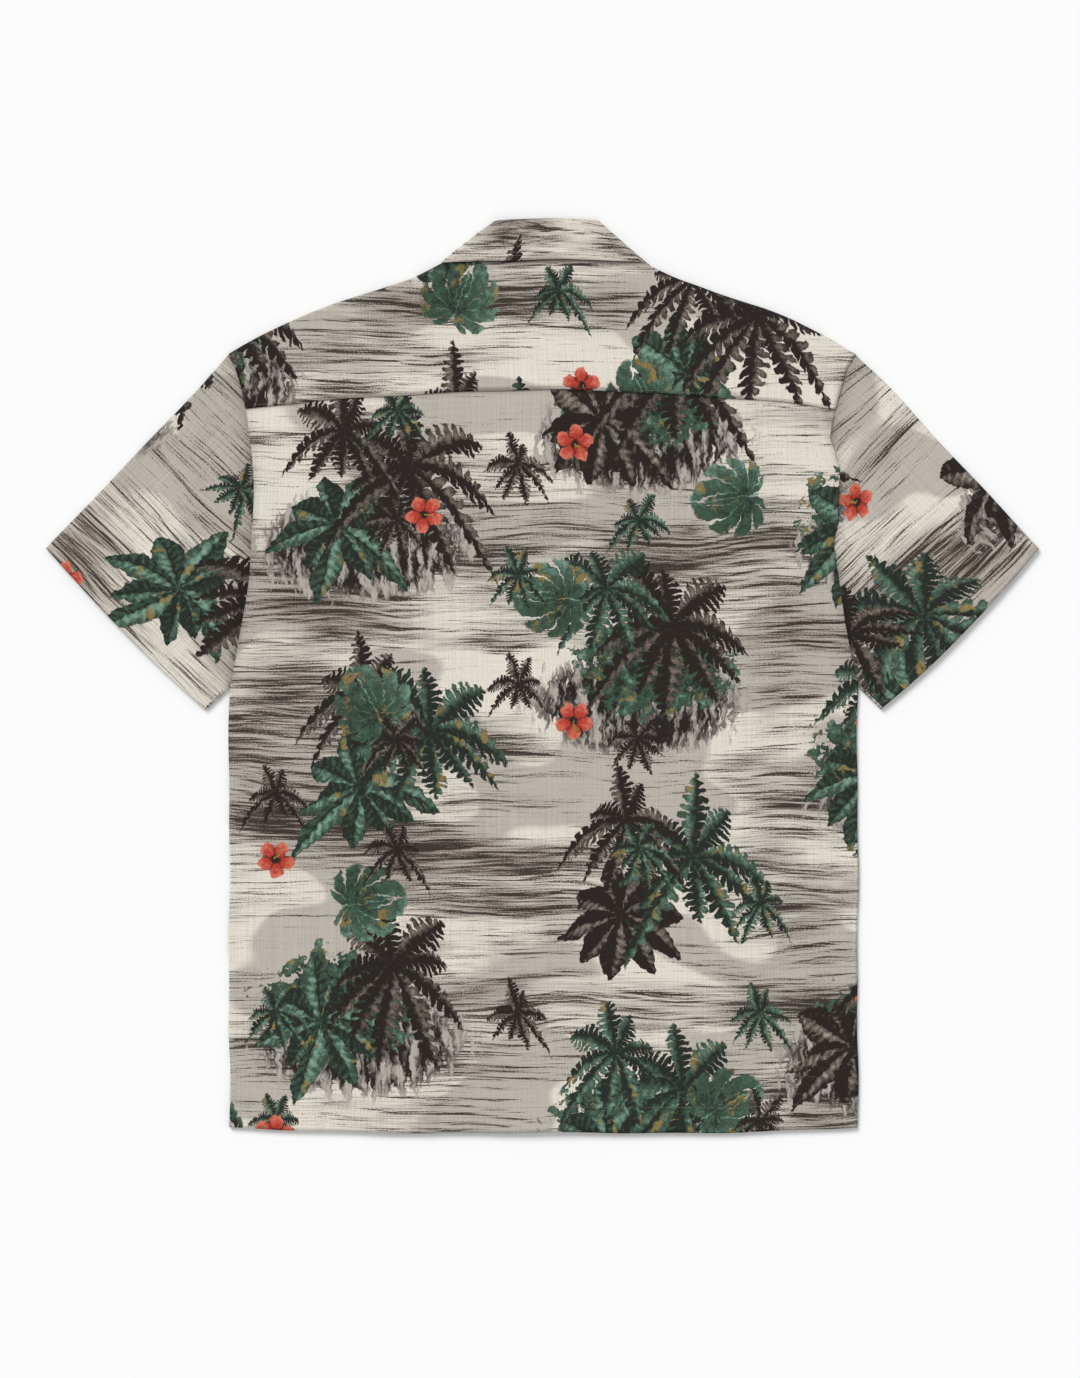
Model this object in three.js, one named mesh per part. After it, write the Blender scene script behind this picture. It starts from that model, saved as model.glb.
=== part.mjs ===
// A short-sleeved hawaiian shirt with a back yoke and a camp collar, laid flat on its front.
// Frame: +X to the right, +Y from hem to collar, +Z up, millimetres. z = 0 is the surface it lies on.
// The origin is at the middle of the outline, on that surface. The left half is the wearer's left.
import * as THREE from "three";

// Cloth and seams.
const CLOTH = 1.2; // wall thickness: cloth with its turned edges
const SEAM = 0.3; // gap between pieces at a seam
const LAYER = CLOTH + SEAM; // one layer of cloth on another
const FLOOR = CLOTH / 2; // mid-height of a layer that lies on the surface

// Body.
const HALF_WIDTH = 272.5;
const HEM_Y = -396.2;
const HEM_BOW = 4.4; // the hem's corners lie this much higher
const HEM_BOW_REACH = 120; // and the bow fades over this height
const UNDERARM_Y = -12.6;
const YOKE_SEAM_Y = 247; // at the centre back
const YOKE_SEAM_SAG = 17; // how much lower the seam meets the armhole
const YOKE_SEAM_HALF = 262; // half the seam's length
const ARMHOLE_TOP_Y = 279;
const ARMHOLE_HOLLOW = 21.6; // how far the armhole is cut in
const ARMHOLE_SKEW = 0.85; // below 1 puts the deepest cut above the middle
const SIDE_FOLD = 1.65; // radius of the rounded side edge
const YOKE_TURN = 25; // how far the yoke comes over the shoulder to the front

// The shoulder's fold line: its slope, its rise at the neck and its drop near the sleeve.
const SHOULDER_SLOPE = 0.345;
const SHOULDER_LIFT = 6; // it rises by this at the neck
const SHOULDER_LIFT_WIDTH = 45;
const SHOULDER_DROP = 11.8;
const SHOULDER_DROP_X = 185;
const SHOULDER_END_X = 271.3;

// Sleeve: the fold lines' ends at its cuff and at the underarm.
const CUFF_TOP = new THREE.Vector2(-429, 108.6);
const CUFF_BOTTOM = new THREE.Vector2(-294.2, -28.2);
const UNDERARM = new THREE.Vector2(-274.4, -9.4);
const CUFF_BOW = 3.5; // the cuff's middle lies this much further out

// Collar and neck, all on the left half.
const ROLL_CORNER = new THREE.Vector2(-43.5, 393); // where the roll line turns to the front
const ROLL_RISE = 1.2; // the roll line's height at the centre over its corners
const LEAF_SIDE = new THREE.Vector2(-86.8, 357.1); // where the leaf's edge turns to the front
const NECK_SIDE = new THREE.Vector2(-77.3, 361.4); // where the neck seam meets the shoulder
const NECK_RISE = 3.6; // the back neck seam's height at the centre over its sides
const LEAF_EDGE_RISE = 1.4; // the same of the leaf's edge
const LEAF_POINT = new THREE.Vector2(-86, 292);
const NOTCH = new THREE.Vector2(-50, 326);
const LAPEL_TIP = new THREE.Vector2(-60, 297);
const GORGE = new THREE.Vector2(-24, 315); // the neck seam and the roll line would meet here
const BREAK = new THREE.Vector2(-4, 243); // the lower end of the roll line
const LAPEL_START = 4; // the lapel's width at the break
const NECK_HEIGHT = 3.3; // mid-height of the folded neck
const STAND_FOLD = 1.2; // the stand's fold radius; the leaf goes round it one layer out

// Front closing.
const OVERLAP = 17; // each front reaches past the centre line by this
const BUTTON_DIAMETER = 11.5;
const BUTTON_THICKNESS = 2.4;
const BUTTON_COUNT = 5;
const BUTTON_TOP_Y = 214;
const BUTTON_PITCH = 106;
const BUTTON_FLAT = 11.4; // radius of the front lifted flat over a button
const BUTTON_SLOPE_END = 24;

const COLLAR_MARGIN = 22; // the front stays lifted this far past the collar under it
const COLLAR_SLOPE_END = 46;

// Loft of the upper layer over the lower one.
const EDGE_LEVEL = FLOOR + 2 * SIDE_FOLD;
const BODY_CROWN = 1.3;
const PLACKET_RIDGE = 1.3;
const PLACKET_RIDGE_WIDTH = 36;
const SLEEVE_SEAM_LEVEL = 3.5;
const SLEEVE_CROWN = 0.9;
const LOFT_OPEN = [236, 320]; // the loft closes from the first height to the second
const NECK_PRESS = [290, 350]; // and the yoke comes down to the folded neck
const NECK_PRESS_X = [95, 170]; // within this half-width, fading outwards
const HEM_PRESS = 0.3; // the crown is lower by this share at the hem
const HEM_PRESS_TOP = -330;

// The largest folds: middle, direction from +X in degrees, half-length, half-width and height.
const BACK_FOLDS = [
  { x: -196, y: 60, turn: 72, reach: 130, width: 22, rise: 0.7 },
  { x: 204, y: 40, turn: 106, reach: 140, width: 24, rise: 0.75 },
  { x: -120, y: -210, turn: 84, reach: 150, width: 28, rise: 0.55 },
  { x: 132, y: -230, turn: 97, reach: 140, width: 30, rise: 0.6 },
  { x: -62, y: -330, turn: 92, reach: 90, width: 22, rise: -0.45 },
  { x: 78, y: 120, turn: 88, reach: 120, width: 26, rise: -0.4 },
];
// On a sleeve, x runs down from the armhole and y across from the top edge.
const LEFT_SLEEVE_FOLDS = [
  { x: 30, y: 120, turn: 86, reach: 110, width: 15, rise: 0.7 },
  { x: 130, y: 70, turn: 28, reach: 90, width: 20, rise: 0.6 },
  { x: 135, y: 165, turn: -16, reach: 80, width: 18, rise: -0.5 },
];
const RIGHT_SLEEVE_FOLDS = [
  { x: 24, y: 130, turn: 84, reach: 130, width: 14, rise: 0.9 },
  { x: 110, y: 95, turn: 40, reach: 90, width: 20, rise: 0.5 },
  { x: 150, y: 190, turn: -10, reach: 80, width: 18, rise: -0.45 },
];

// How finely the cloth is laid out.
const FOLD_STEPS = 6;
const BACK_COLUMNS = 18;
const BACK_ROWS = 12;
const ARMHOLE_ROWS = 9;
const YOKE_ROWS = 5;
const SHOULDER_COLUMNS = 8;
const NECK_COLUMNS = 8;
const LAPEL_ROWS = 5;
const COLLAR_FRONT_ROWS = 5;

const lerp = (a, b, t) => a + (b - a) * t;
const clamp01 = (t) => Math.min(1, Math.max(0, t));
const smooth = (low, high, value) => {
  const t = clamp01((value - low) / (high - low));
  return t * t * (3 - 2 * t);
};
const range = (count) => Array.from({ length: count }, (_, i) => i);
const steps = (from, to, count) => range(count + 1).map((i) => lerp(from, to, i / count));
const between = (a, b, t) => a.clone().lerp(b, t);
const at = (p, z) => new THREE.Vector3(p.x, p.y, z);
const mirrored = (rows) => rows.map((row) => row.map((p) => new THREE.Vector3(-p.x, p.y, p.z)).reverse());
// The direction to the left of the way from one point to another.
const leftOf = (from, to) => new THREE.Vector2(from.y - to.y, to.x - from.x).normalize();
// A value read from a table of pairs, straight between them.
function readTable(table, value) {
  const i = table.findIndex(([key]) => key >= value);
  if (i <= 0) return i === 0 ? table[0][1] : table.at(-1)[1];
  const [[a, from], [b, to]] = [table[i - 1], table[i]];
  return lerp(from, to, (value - a) / (b - a));
}

function foldsAt(table, x, y) {
  let sum = 0;
  for (const fold of table) {
    const turn = THREE.MathUtils.degToRad(fold.turn);
    const along = (x - fold.x) * Math.cos(turn) + (y - fold.y) * Math.sin(turn);
    const across = (y - fold.y) * Math.cos(turn) - (x - fold.x) * Math.sin(turn);
    const fade = 1 - smooth(0.35, 1, Math.abs(along) / fold.reach);
    sum += fold.rise * fade * Math.exp(-((across / fold.width) ** 2));
  }
  return sum;
}

// Outlines on the plan.
function armholeX(y) {
  const t = clamp01((ARMHOLE_TOP_Y - y) / (ARMHOLE_TOP_Y - UNDERARM_Y));
  return HALF_WIDTH - ARMHOLE_HOLLOW * Math.sin(Math.PI * t ** ARMHOLE_SKEW);
}
const hemLift = (x, y) => HEM_BOW * (x / HALF_WIDTH) ** 4 * (1 - smooth(HEM_Y, HEM_Y + HEM_BOW_REACH, y));
const yokeSeamY = (x) => YOKE_SEAM_Y - YOKE_SEAM_SAG * (x / YOKE_SEAM_HALF) ** 2;
const YOKE_END_Y = yokeSeamY(armholeX(YOKE_SEAM_Y - YOKE_SEAM_SAG));
function shoulderLine(t) {
  const x = lerp(-NECK_SIDE.x, SHOULDER_END_X, t);
  const past = Math.max(0, (x - SHOULDER_DROP_X) / (SHOULDER_END_X - SHOULDER_DROP_X));
  const lift = SHOULDER_LIFT * clamp01(1 - (x + NECK_SIDE.x) / SHOULDER_LIFT_WIDTH) ** 1.5;
  const y = NECK_SIDE.y - SHOULDER_LIFT + lift - SHOULDER_SLOPE * (x + NECK_SIDE.x);
  return new THREE.Vector2(-x, y - SHOULDER_DROP * past ** 1.8);
}
const SHOULDER_END = shoulderLine(1);
const SHOULDER_OUT = leftOf(shoulderLine(0.97), shoulderLine(1)).negate();
const SLEEVE_OUT = leftOf(SHOULDER_END, CUFF_TOP).negate();
const TIP_OUT = SHOULDER_OUT.clone().add(SLEEVE_OUT).normalize();
const COLLAR_OUT = leftOf(NECK_SIDE, ROLL_CORNER);
const LEAF_OUT = leftOf(LEAF_SIDE, ROLL_CORNER);
const NECK_OUT = leftOf(shoulderLine(0), shoulderLine(0.05)).negate().add(COLLAR_OUT).normalize();

// The neck seam, from the body's side (-1) or the collar's side (1).
const ROLL_END = 0.95; // how far down its roll line the collar reaches
const STAND_END = 0.91; // and how far along the front neck seam
const backSeamY = (x, side) => NECK_SIDE.y + NECK_RISE * (1 - (x / NECK_SIDE.x) ** 2) + (side * SEAM) / 2;
const neckCorner = (side) => {
  const along = new THREE.Vector2(NECK_OUT.y, -NECK_OUT.x);
  return NECK_SIDE.clone().addScaledVector(along, side * SEAM);
};
const frontSeam = (t, side) => {
  if (t === 0) return neckCorner(side);
  return between(NECK_SIDE, GORGE, t).addScaledVector(leftOf(NECK_SIDE, GORGE), (side * SEAM) / 2);
};
const COLLAR_END = between(ROLL_CORNER, GORGE, ROLL_END);
const gorgeGap = leftOf(COLLAR_END, NOTCH).multiplyScalar(SEAM);
const LAPEL_END = between(ROLL_CORNER, GORGE, ROLL_END + (1.15 * SEAM) / ROLL_CORNER.distanceTo(GORGE));
const LAPEL_NOTCH = NOTCH.clone().add(gorgeGap);
const YOKE_FRONT_NECK = frontSeam(0.32, -1);
const YOKE_FRONT_ARM_Y = ARMHOLE_TOP_Y - YOKE_TURN;
const YOKE_FRONT_ARM = new THREE.Vector2(-armholeX(YOKE_FRONT_ARM_Y), YOKE_FRONT_ARM_Y);

// How far a point is from a polygon on the plan; 0 inside it.
function distanceTo(polygon, x, y) {
  let inside = false;
  let nearest = Infinity;
  polygon.forEach((a, i) => {
    const b = polygon[(i + 1) % polygon.length];
    const crosses = a.y > y !== b.y > y && x < ((b.x - a.x) * (y - a.y)) / (b.y - a.y) + a.x;
    if (crosses) inside = !inside;
    const edge = b.clone().sub(a);
    const t = clamp01(((x - a.x) * edge.x + (y - a.y) * edge.y) / edge.lengthSq());
    nearest = Math.min(nearest, Math.hypot(x - a.x - t * edge.x, y - a.y - t * edge.y));
  });
  return inside ? 0 : nearest;
}

// What lies under the fronts lifts them: the turned-out collar and lapels, and the buttons.
const TURNED_OUT = [ROLL_CORNER, LEAF_SIDE, LEAF_POINT, LAPEL_TIP, BREAK];
const buttonYs = range(BUTTON_COUNT).map((i) => BUTTON_TOP_Y - i * BUTTON_PITCH);
function frontLevel(x, y) {
  const collar = 1 - smooth(COLLAR_MARGIN, COLLAR_SLOPE_END, distanceTo(TURNED_OUT, -Math.abs(x), y));
  const reach = Math.min(...buttonYs.map((b) => Math.hypot(x, y - b)));
  const button = 1 - smooth(BUTTON_FLAT, BUTTON_SLOPE_END, reach);
  return FLOOR + Math.max(LAYER * collar, (BUTTON_THICKNESS + SEAM) * button);
}
// The right front lies on the left one along the placket; x is the distance to its own side.
function overlapLift(x, y) {
  const across = 1 - smooth(OVERLAP + 4, OVERLAP + 26, x);
  return LAYER * across * (1 - smooth(BREAK.y, BREAK.y + 36, y));
}
function backLevel(x, y) {
  const out = Math.min(1, Math.abs(x) / YOKE_SEAM_HALF);
  const neck = smooth(...NECK_PRESS, y) * (1 - smooth(...NECK_PRESS_X, Math.abs(x)));
  const open = 1 - smooth(...LOFT_OPEN, y);
  const ridge = PLACKET_RIDGE * Math.exp(-((x / PLACKET_RIDGE_WIDTH) ** 2));
  const hem = 1 - HEM_PRESS * smooth(HEM_PRESS_TOP, HEM_Y, y);
  const still = 1 - smooth(0.84, 1, out); // folds fade out before the side edge
  const crown = BODY_CROWN * (1 - out ** 2) * hem;
  const loft = (crown + ridge + foldsAt(BACK_FOLDS, x, y) * still) * open;
  return lerp(EDGE_LEVEL + loft, NECK_HEIGHT + STAND_FOLD, neck);
}

function solidFrom(points, faces) {
  const volume = range(faces.length / 3).reduce((sum, i) => {
    const [a, b, c] = faces.slice(3 * i, 3 * i + 3).map((k) => points[k]);
    return sum + a.dot(new THREE.Vector3().crossVectors(b, c));
  }, 0);
  const geometry = new THREE.BufferGeometry().setFromPoints(points);
  geometry.setIndex(volume < 0 ? faces.reverse() : faces);
  geometry.computeVertexNormals();
  return geometry;
}

// A cloth piece: grids of points on its middle surface, joined where their points meet.
class Cloth {
  points = [];
  faces = [];
  known = new Map();

  vertex(p) {
    const key = [p.x, p.y, p.z].map((v) => Math.round(v * 200)).join();
    if (!this.known.has(key)) {
      this.known.set(key, this.points.length);
      this.points.push(p);
    }
    return this.known.get(key);
  }

  grid(rows) {
    const ids = rows.map((row) => row.map((p) => this.vertex(p)));
    for (let i = 1; i < ids.length; i++) {
      for (let j = 1; j < ids[i].length; j++) {
        const [a, b, c, d] = [ids[i - 1][j - 1], ids[i - 1][j], ids[i][j], ids[i][j - 1]];
        this.faces.push(...((i + j) % 2 ? [[a, b, c], [a, c, d]] : [[a, b, d], [b, c, d]]));
      }
    }
    return this;
  }

  // The direction across the cloth at each point, each face counted by its corner there.
  normals() {
    const sums = this.points.map(() => new THREE.Vector3());
    for (const face of this.faces) {
      const [a, b, c] = face.map((k) => this.points[k]);
      const across = b.clone().sub(a).cross(c.clone().sub(a)).normalize();
      face.forEach((k, i) => {
        const next = this.points[face[(i + 1) % 3]].clone().sub(this.points[k]);
        const last = this.points[face[(i + 2) % 3]].clone().sub(this.points[k]);
        sums[k].addScaledVector(across, next.angleTo(last));
      });
    }
    return sums.map((sum) => sum.normalize());
  }

  // The middle surface moved out by half the thickness both ways, closed along its edges.
  wall() {
    const normals = this.normals();
    const moved = (reach) => this.points.map((p, i) => p.clone().addScaledVector(normals[i], reach));
    const under = this.points.length;
    const edges = new Set(this.faces.flatMap(([a, b, c]) => [`${a},${b}`, `${b},${c}`, `${c},${a}`]));
    const faces = this.faces.flatMap(([a, b, c]) => [a, b, c, c + under, b + under, a + under]);
    for (const edge of edges) {
      const [a, b] = edge.split(",").map(Number);
      if (!edges.has(`${b},${a}`)) faces.push(b, a, a + under, b, a + under, b + under);
    }
    return solidFrom([...moved(CLOTH / 2), ...moved(-CLOTH / 2)], faces);
  }
}

// The round of a fold about its line: turn 0 is the upper layer and 180 the lower one.
function round(line, outward, top, bottom, turn) {
  const angle = THREE.MathUtils.degToRad(turn);
  const radius = (top - bottom) / 2;
  const p = line.clone().addScaledVector(outward, radius * Math.sin(angle));
  return at(p, bottom + radius * (1 + Math.cos(angle)));
}

// The side edge is rounded: the back turns down and the front up, to meet at the side seam.
const SIDE_ANGLE = Math.PI / 2 - (0.7 * SEAM) / (SIDE_FOLD - CLOTH / 2);
const SIDE_STEPS = [0, 0.45, 0.88, 1];
function sideEdge(y, level, direction) {
  const bend = 1 - smooth(UNDERARM_Y, UNDERARM_Y + 14, y);
  const flat = SIDE_FOLD * SIDE_ANGLE;
  const start = lerp(armholeX(y) - flat, HALF_WIDTH - CLOTH / 2 - SIDE_FOLD, bend);
  return SIDE_STEPS.map((share) => {
    const length = flat * share;
    const angle = (length / SIDE_FOLD) * bend;
    const across = bend < 1e-3 ? length : (SIDE_FOLD / bend) * Math.sin(angle);
    const fall = bend < 1e-3 ? 0 : (SIDE_FOLD / bend) * (1 - Math.cos(angle));
    const x = -(start + across);
    return new THREE.Vector3(x, y + hemLift(x, y), level(-start, y) - direction * fall);
  });
}

// Heights at the body's edge, from the hem to the yoke's end.
const sideYs = steps(HEM_Y, UNDERARM_Y, BACK_ROWS);
const armYs = steps(UNDERARM_Y + 14, YOKE_END_Y - SEAM, ARMHOLE_ROWS);
const yokeYs = steps(YOKE_END_Y, SHOULDER_END.y, YOKE_ROWS);

function backPanel() {
  const top = YOKE_END_Y - SEAM;
  const rows = [...sideYs, UNDERARM_Y + 7, ...armYs].map((edgeY) => {
    const v = (edgeY - HEM_Y) / (top - HEM_Y);
    const left = sideEdge(edgeY, backLevel, 1).reverse();
    const right = sideEdge(edgeY, (x, y) => backLevel(-x, y), 1).map((p) => at({ x: -p.x, y: p.y }, p.z));
    const start = left.at(-1).x;
    const middle = steps(start, -start, BACK_COLUMNS).slice(1, -1).map((x) => {
      const y = lerp(HEM_Y, yokeSeamY(x) - SEAM, v);
      return new THREE.Vector3(x, y + hemLift(x, y), backLevel(x, y));
    });
    return [...left, ...middle, ...right];
  });
  return new Cloth().grid(rows).wall();
}

function shoulderOut(t) {
  const here = leftOf(shoulderLine(Math.max(0, t - 0.02)), shoulderLine(Math.min(1, t + 0.02))).negate();
  return here.lerp(NECK_OUT, 1 - smooth(0, 0.12, t)).lerp(TIP_OUT, smooth(0.88, 1, t)).normalize();
}
function yokePanel() {
  const cloth = new Cloth();
  const half = (mirror) => {
    const upper = (x, y) => backLevel(mirror * x, y);
    return steps(1, 0, SHOULDER_COLUMNS).map((t) => {
      const line = t === 0 ? neckCorner(-1) : shoulderLine(t);
      const seamX = lerp(NECK_SIDE.x, -armholeX(YOKE_END_Y), t);
      const back = yokeYs.map((edgeY, i) => {
        const v = i / YOKE_ROWS;
        const x = v === 1 ? line.x : lerp(NECK_SIDE.x, -armholeX(edgeY), t);
        const y = lerp(t === 1 ? YOKE_END_Y : yokeSeamY(seamX), line.y, v);
        return new THREE.Vector3(x, y, upper(x, y));
      });
      const [top, bottom] = [back.at(-1).z, frontLevel(line.x, line.y)];
      const fold = steps(0, 180, FOLD_STEPS).slice(1);
      const end = t === 1 ? YOKE_FRONT_ARM : between(YOKE_FRONT_NECK, YOKE_FRONT_ARM, t);
      const front = [0.5, 1].map((v) => {
        const p = between(line, end, v);
        if (t === 1) p.x = -armholeX(p.y);
        return at(p, frontLevel(p.x, p.y));
      });
      return [...back, ...fold.map((turn) => round(line, shoulderOut(t), top, bottom, turn)), ...front];
    });
  };
  const [left, right] = [half(1), half(-1)];
  cloth.grid(left).grid(mirrored(right));
  const first = left.at(-1).slice(0, YOKE_ROWS + 1);
  const last = right.at(-1).slice(0, YOKE_ROWS + 1).map((p) => new THREE.Vector3(-p.x, p.y, p.z));
  const middle = steps(NECK_SIDE.x, -NECK_SIDE.x, NECK_COLUMNS).slice(1, -1).map((x) =>
    steps(0, 1, YOKE_ROWS).map((v) => {
      const y = lerp(yokeSeamY(x), backSeamY(x, -1), v);
      return new THREE.Vector3(x, y, backLevel(x, y));
    }),
  );
  return cloth.grid([first, ...middle, last]).wall();
}

// A front panel: from the placket, the roll line and the neck seam to the side and the armhole.
const NEAR_COLUMNS = [0, 9, 17, 25, 34, 43]; // distances from the inner edge
const FAR_COLUMNS = [0.16, 0.4, 0.72]; // shares of what is left up to the side
const BUTTON_ROWS = [-22, -8, 0, 8, 22];
// Where rows that start at the placket reach the side, up to the armhole; above it they are even.
const SIDE_ROWS = [
  [HEM_Y, HEM_Y],
  [-20, -24],
  [-6, UNDERARM_Y],
  [2, UNDERARM_Y + 7],
  [10, UNDERARM_Y + 14],
];
function frontPanel(isRight) {
  const level = (x, y) => frontLevel(x, y) + (isRight ? overlapLift(-x, y) : 0);
  const place = (p) => new THREE.Vector3(p.x, p.y + hemLift(p.x, p.y), level(p.x, p.y));
  const ys = [HEM_Y, HEM_Y + 52, HEM_Y + 104];
  for (const y of [...buttonYs].reverse()) ys.push(...BUTTON_ROWS.map((d) => y + d));
  const inner = ys.map((y) => new THREE.Vector2(OVERLAP, y));
  const roll = steps(0, 1, LAPEL_ROWS).map((t) => between(BREAK, LAPEL_END, t));
  const neck = [STAND_END, 0.72, 0.5, 0.32].map((t) => frontSeam(t, -1));
  inner.push(...roll, ...neck);
  inner[inner.length - 1].addScaledVector(leftOf(YOKE_FRONT_NECK, YOKE_FRONT_ARM), SEAM);
  const upper = roll.length + neck.length;
  const top = YOKE_FRONT_ARM_Y - SEAM;
  const [armStartY, armEdgeY] = SIDE_ROWS.at(-1);
  const armRow = inner.findIndex((p) => p.y >= armStartY);
  const rows = inner.map((p, i) => {
    const past = Math.max(0, i - ys.length + 1) / upper;
    const share = (i - armRow) / (inner.length - 1 - armRow);
    const edgeY = share > 0 ? lerp(armEdgeY, top, share) : readTable(SIDE_ROWS, p.y);
    const rim = sideEdge(edgeY, level, -1);
    const outer = new THREE.Vector2(rim[0].x, rim[0].y);
    const way = outer.clone().sub(p).normalize();
    const along = new THREE.Vector2(-1, 0).lerp(way, clamp01(past * 1.6)).normalize();
    const near = NEAR_COLUMNS.map((d) => p.clone().addScaledVector(along, d));
    const far = FAR_COLUMNS.map((t) => between(near.at(-1), outer, t));
    return [...[...near, ...far].map(place), ...rim];
  });
  // The lapel turns out at the roll line and lies under the front.
  const outline = [BREAK.clone().add(new THREE.Vector2(-LAPEL_START, 0))];
  outline.push(...[0.25, 0.5, 0.75, 1].map((t) => between(outline[0], LAPEL_TIP, t)), LAPEL_NOTCH);
  const rollOut = leftOf(GORGE, BREAK);
  const lapel = roll.map((p, i) => {
    const fold = steps(0, 180, FOLD_STEPS).map((turn) => round(p, rollOut, level(p.x, p.y), FLOOR, turn));
    const flat = [1 / 3, 2 / 3, 1].map((t) => at(between(p, outline[i], t), FLOOR));
    return [...fold, ...flat].reverse();
  });
  const cloth = new Cloth();
  const panel = [rows, lapel];
  for (const grid of panel) cloth.grid(isRight ? mirrored(grid) : grid);
  return cloth.wall();
}

// A sleeve: a flattened tube, laid in rings from the armhole to the cuff.
const CUFF_OUT = leftOf(CUFF_TOP, CUFF_BOTTOM).negate();
const cuffPoint = (share) =>
  between(CUFF_BOTTOM, CUFF_TOP, share).addScaledVector(CUFF_OUT, CUFF_BOW * 4 * share * (1 - share));
const RING_SHARES = [0, 0.05, 0.12, 0.2, 0.34, 0.53, 0.76, 1];
function sleeve(isRight) {
  const folds = isRight ? RIGHT_SLEEVE_FOLDS : LEFT_SLEEVE_FOLDS;
  const tip = SHOULDER_END.clone().addScaledVector(new THREE.Vector2(-TIP_OUT.y, TIP_OUT.x), 1.7 * SEAM);
  const armhole = [...armYs, ...yokeYs.slice(0, -1)].map((y) => new THREE.Vector2(-(armholeX(y) + SEAM), y));
  armhole.splice(ARMHOLE_ROWS, 1);
  const start = [UNDERARM, ...armhole, tip];
  const shares = start.map((p) => (p.y - start[0].y) / (tip.y - start[0].y));
  const depth = CUFF_TOP.distanceTo(tip);
  const width = (share) => CUFF_TOP.distanceTo(CUFF_BOTTOM) * (1 - share);
  const underOut = leftOf(UNDERARM, CUFF_BOTTOM);
  const rows = RING_SHARES.map((r) => {
    const plan = start.map((p, i) => between(p, cuffPoint(shares[i]), r));
    const upper = plan.map((p, i) => {
      const still = smooth(0, 0.14, shares[i]) * smooth(1, 0.86, shares[i]) * smooth(0, 0.1, r);
      const level = lerp(SLEEVE_SEAM_LEVEL, EDGE_LEVEL, smooth(0, 0.25, r));
      const crown = SLEEVE_CROWN * Math.sin(Math.PI * shares[i]) * smooth(0, 0.3, r);
      return at(p, level + crown + foldsAt(folds, depth * r, width(shares[i]) * lerp(1.45, 1, r)) * still);
    });
    const inside = steps(0, 180, FOLD_STEPS).slice(1, -1);
    const topOut = TIP_OUT.clone().lerp(SLEEVE_OUT, smooth(0, 0.12, r)).normalize();
    const topFold = inside.map((turn) => round(plan.at(-1), topOut, upper.at(-1).z, FLOOR, turn));
    const lower = plan.map((p) => at(p, FLOOR)).reverse();
    const underFold = inside.map((turn) => round(plan[0], underOut, upper[0].z, FLOOR, 180 - turn));
    return [...upper, ...topFold, ...lower, ...underFold, upper[0]];
  });
  return new Cloth().grid(isRight ? mirrored(rows) : rows).wall();
}

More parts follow.
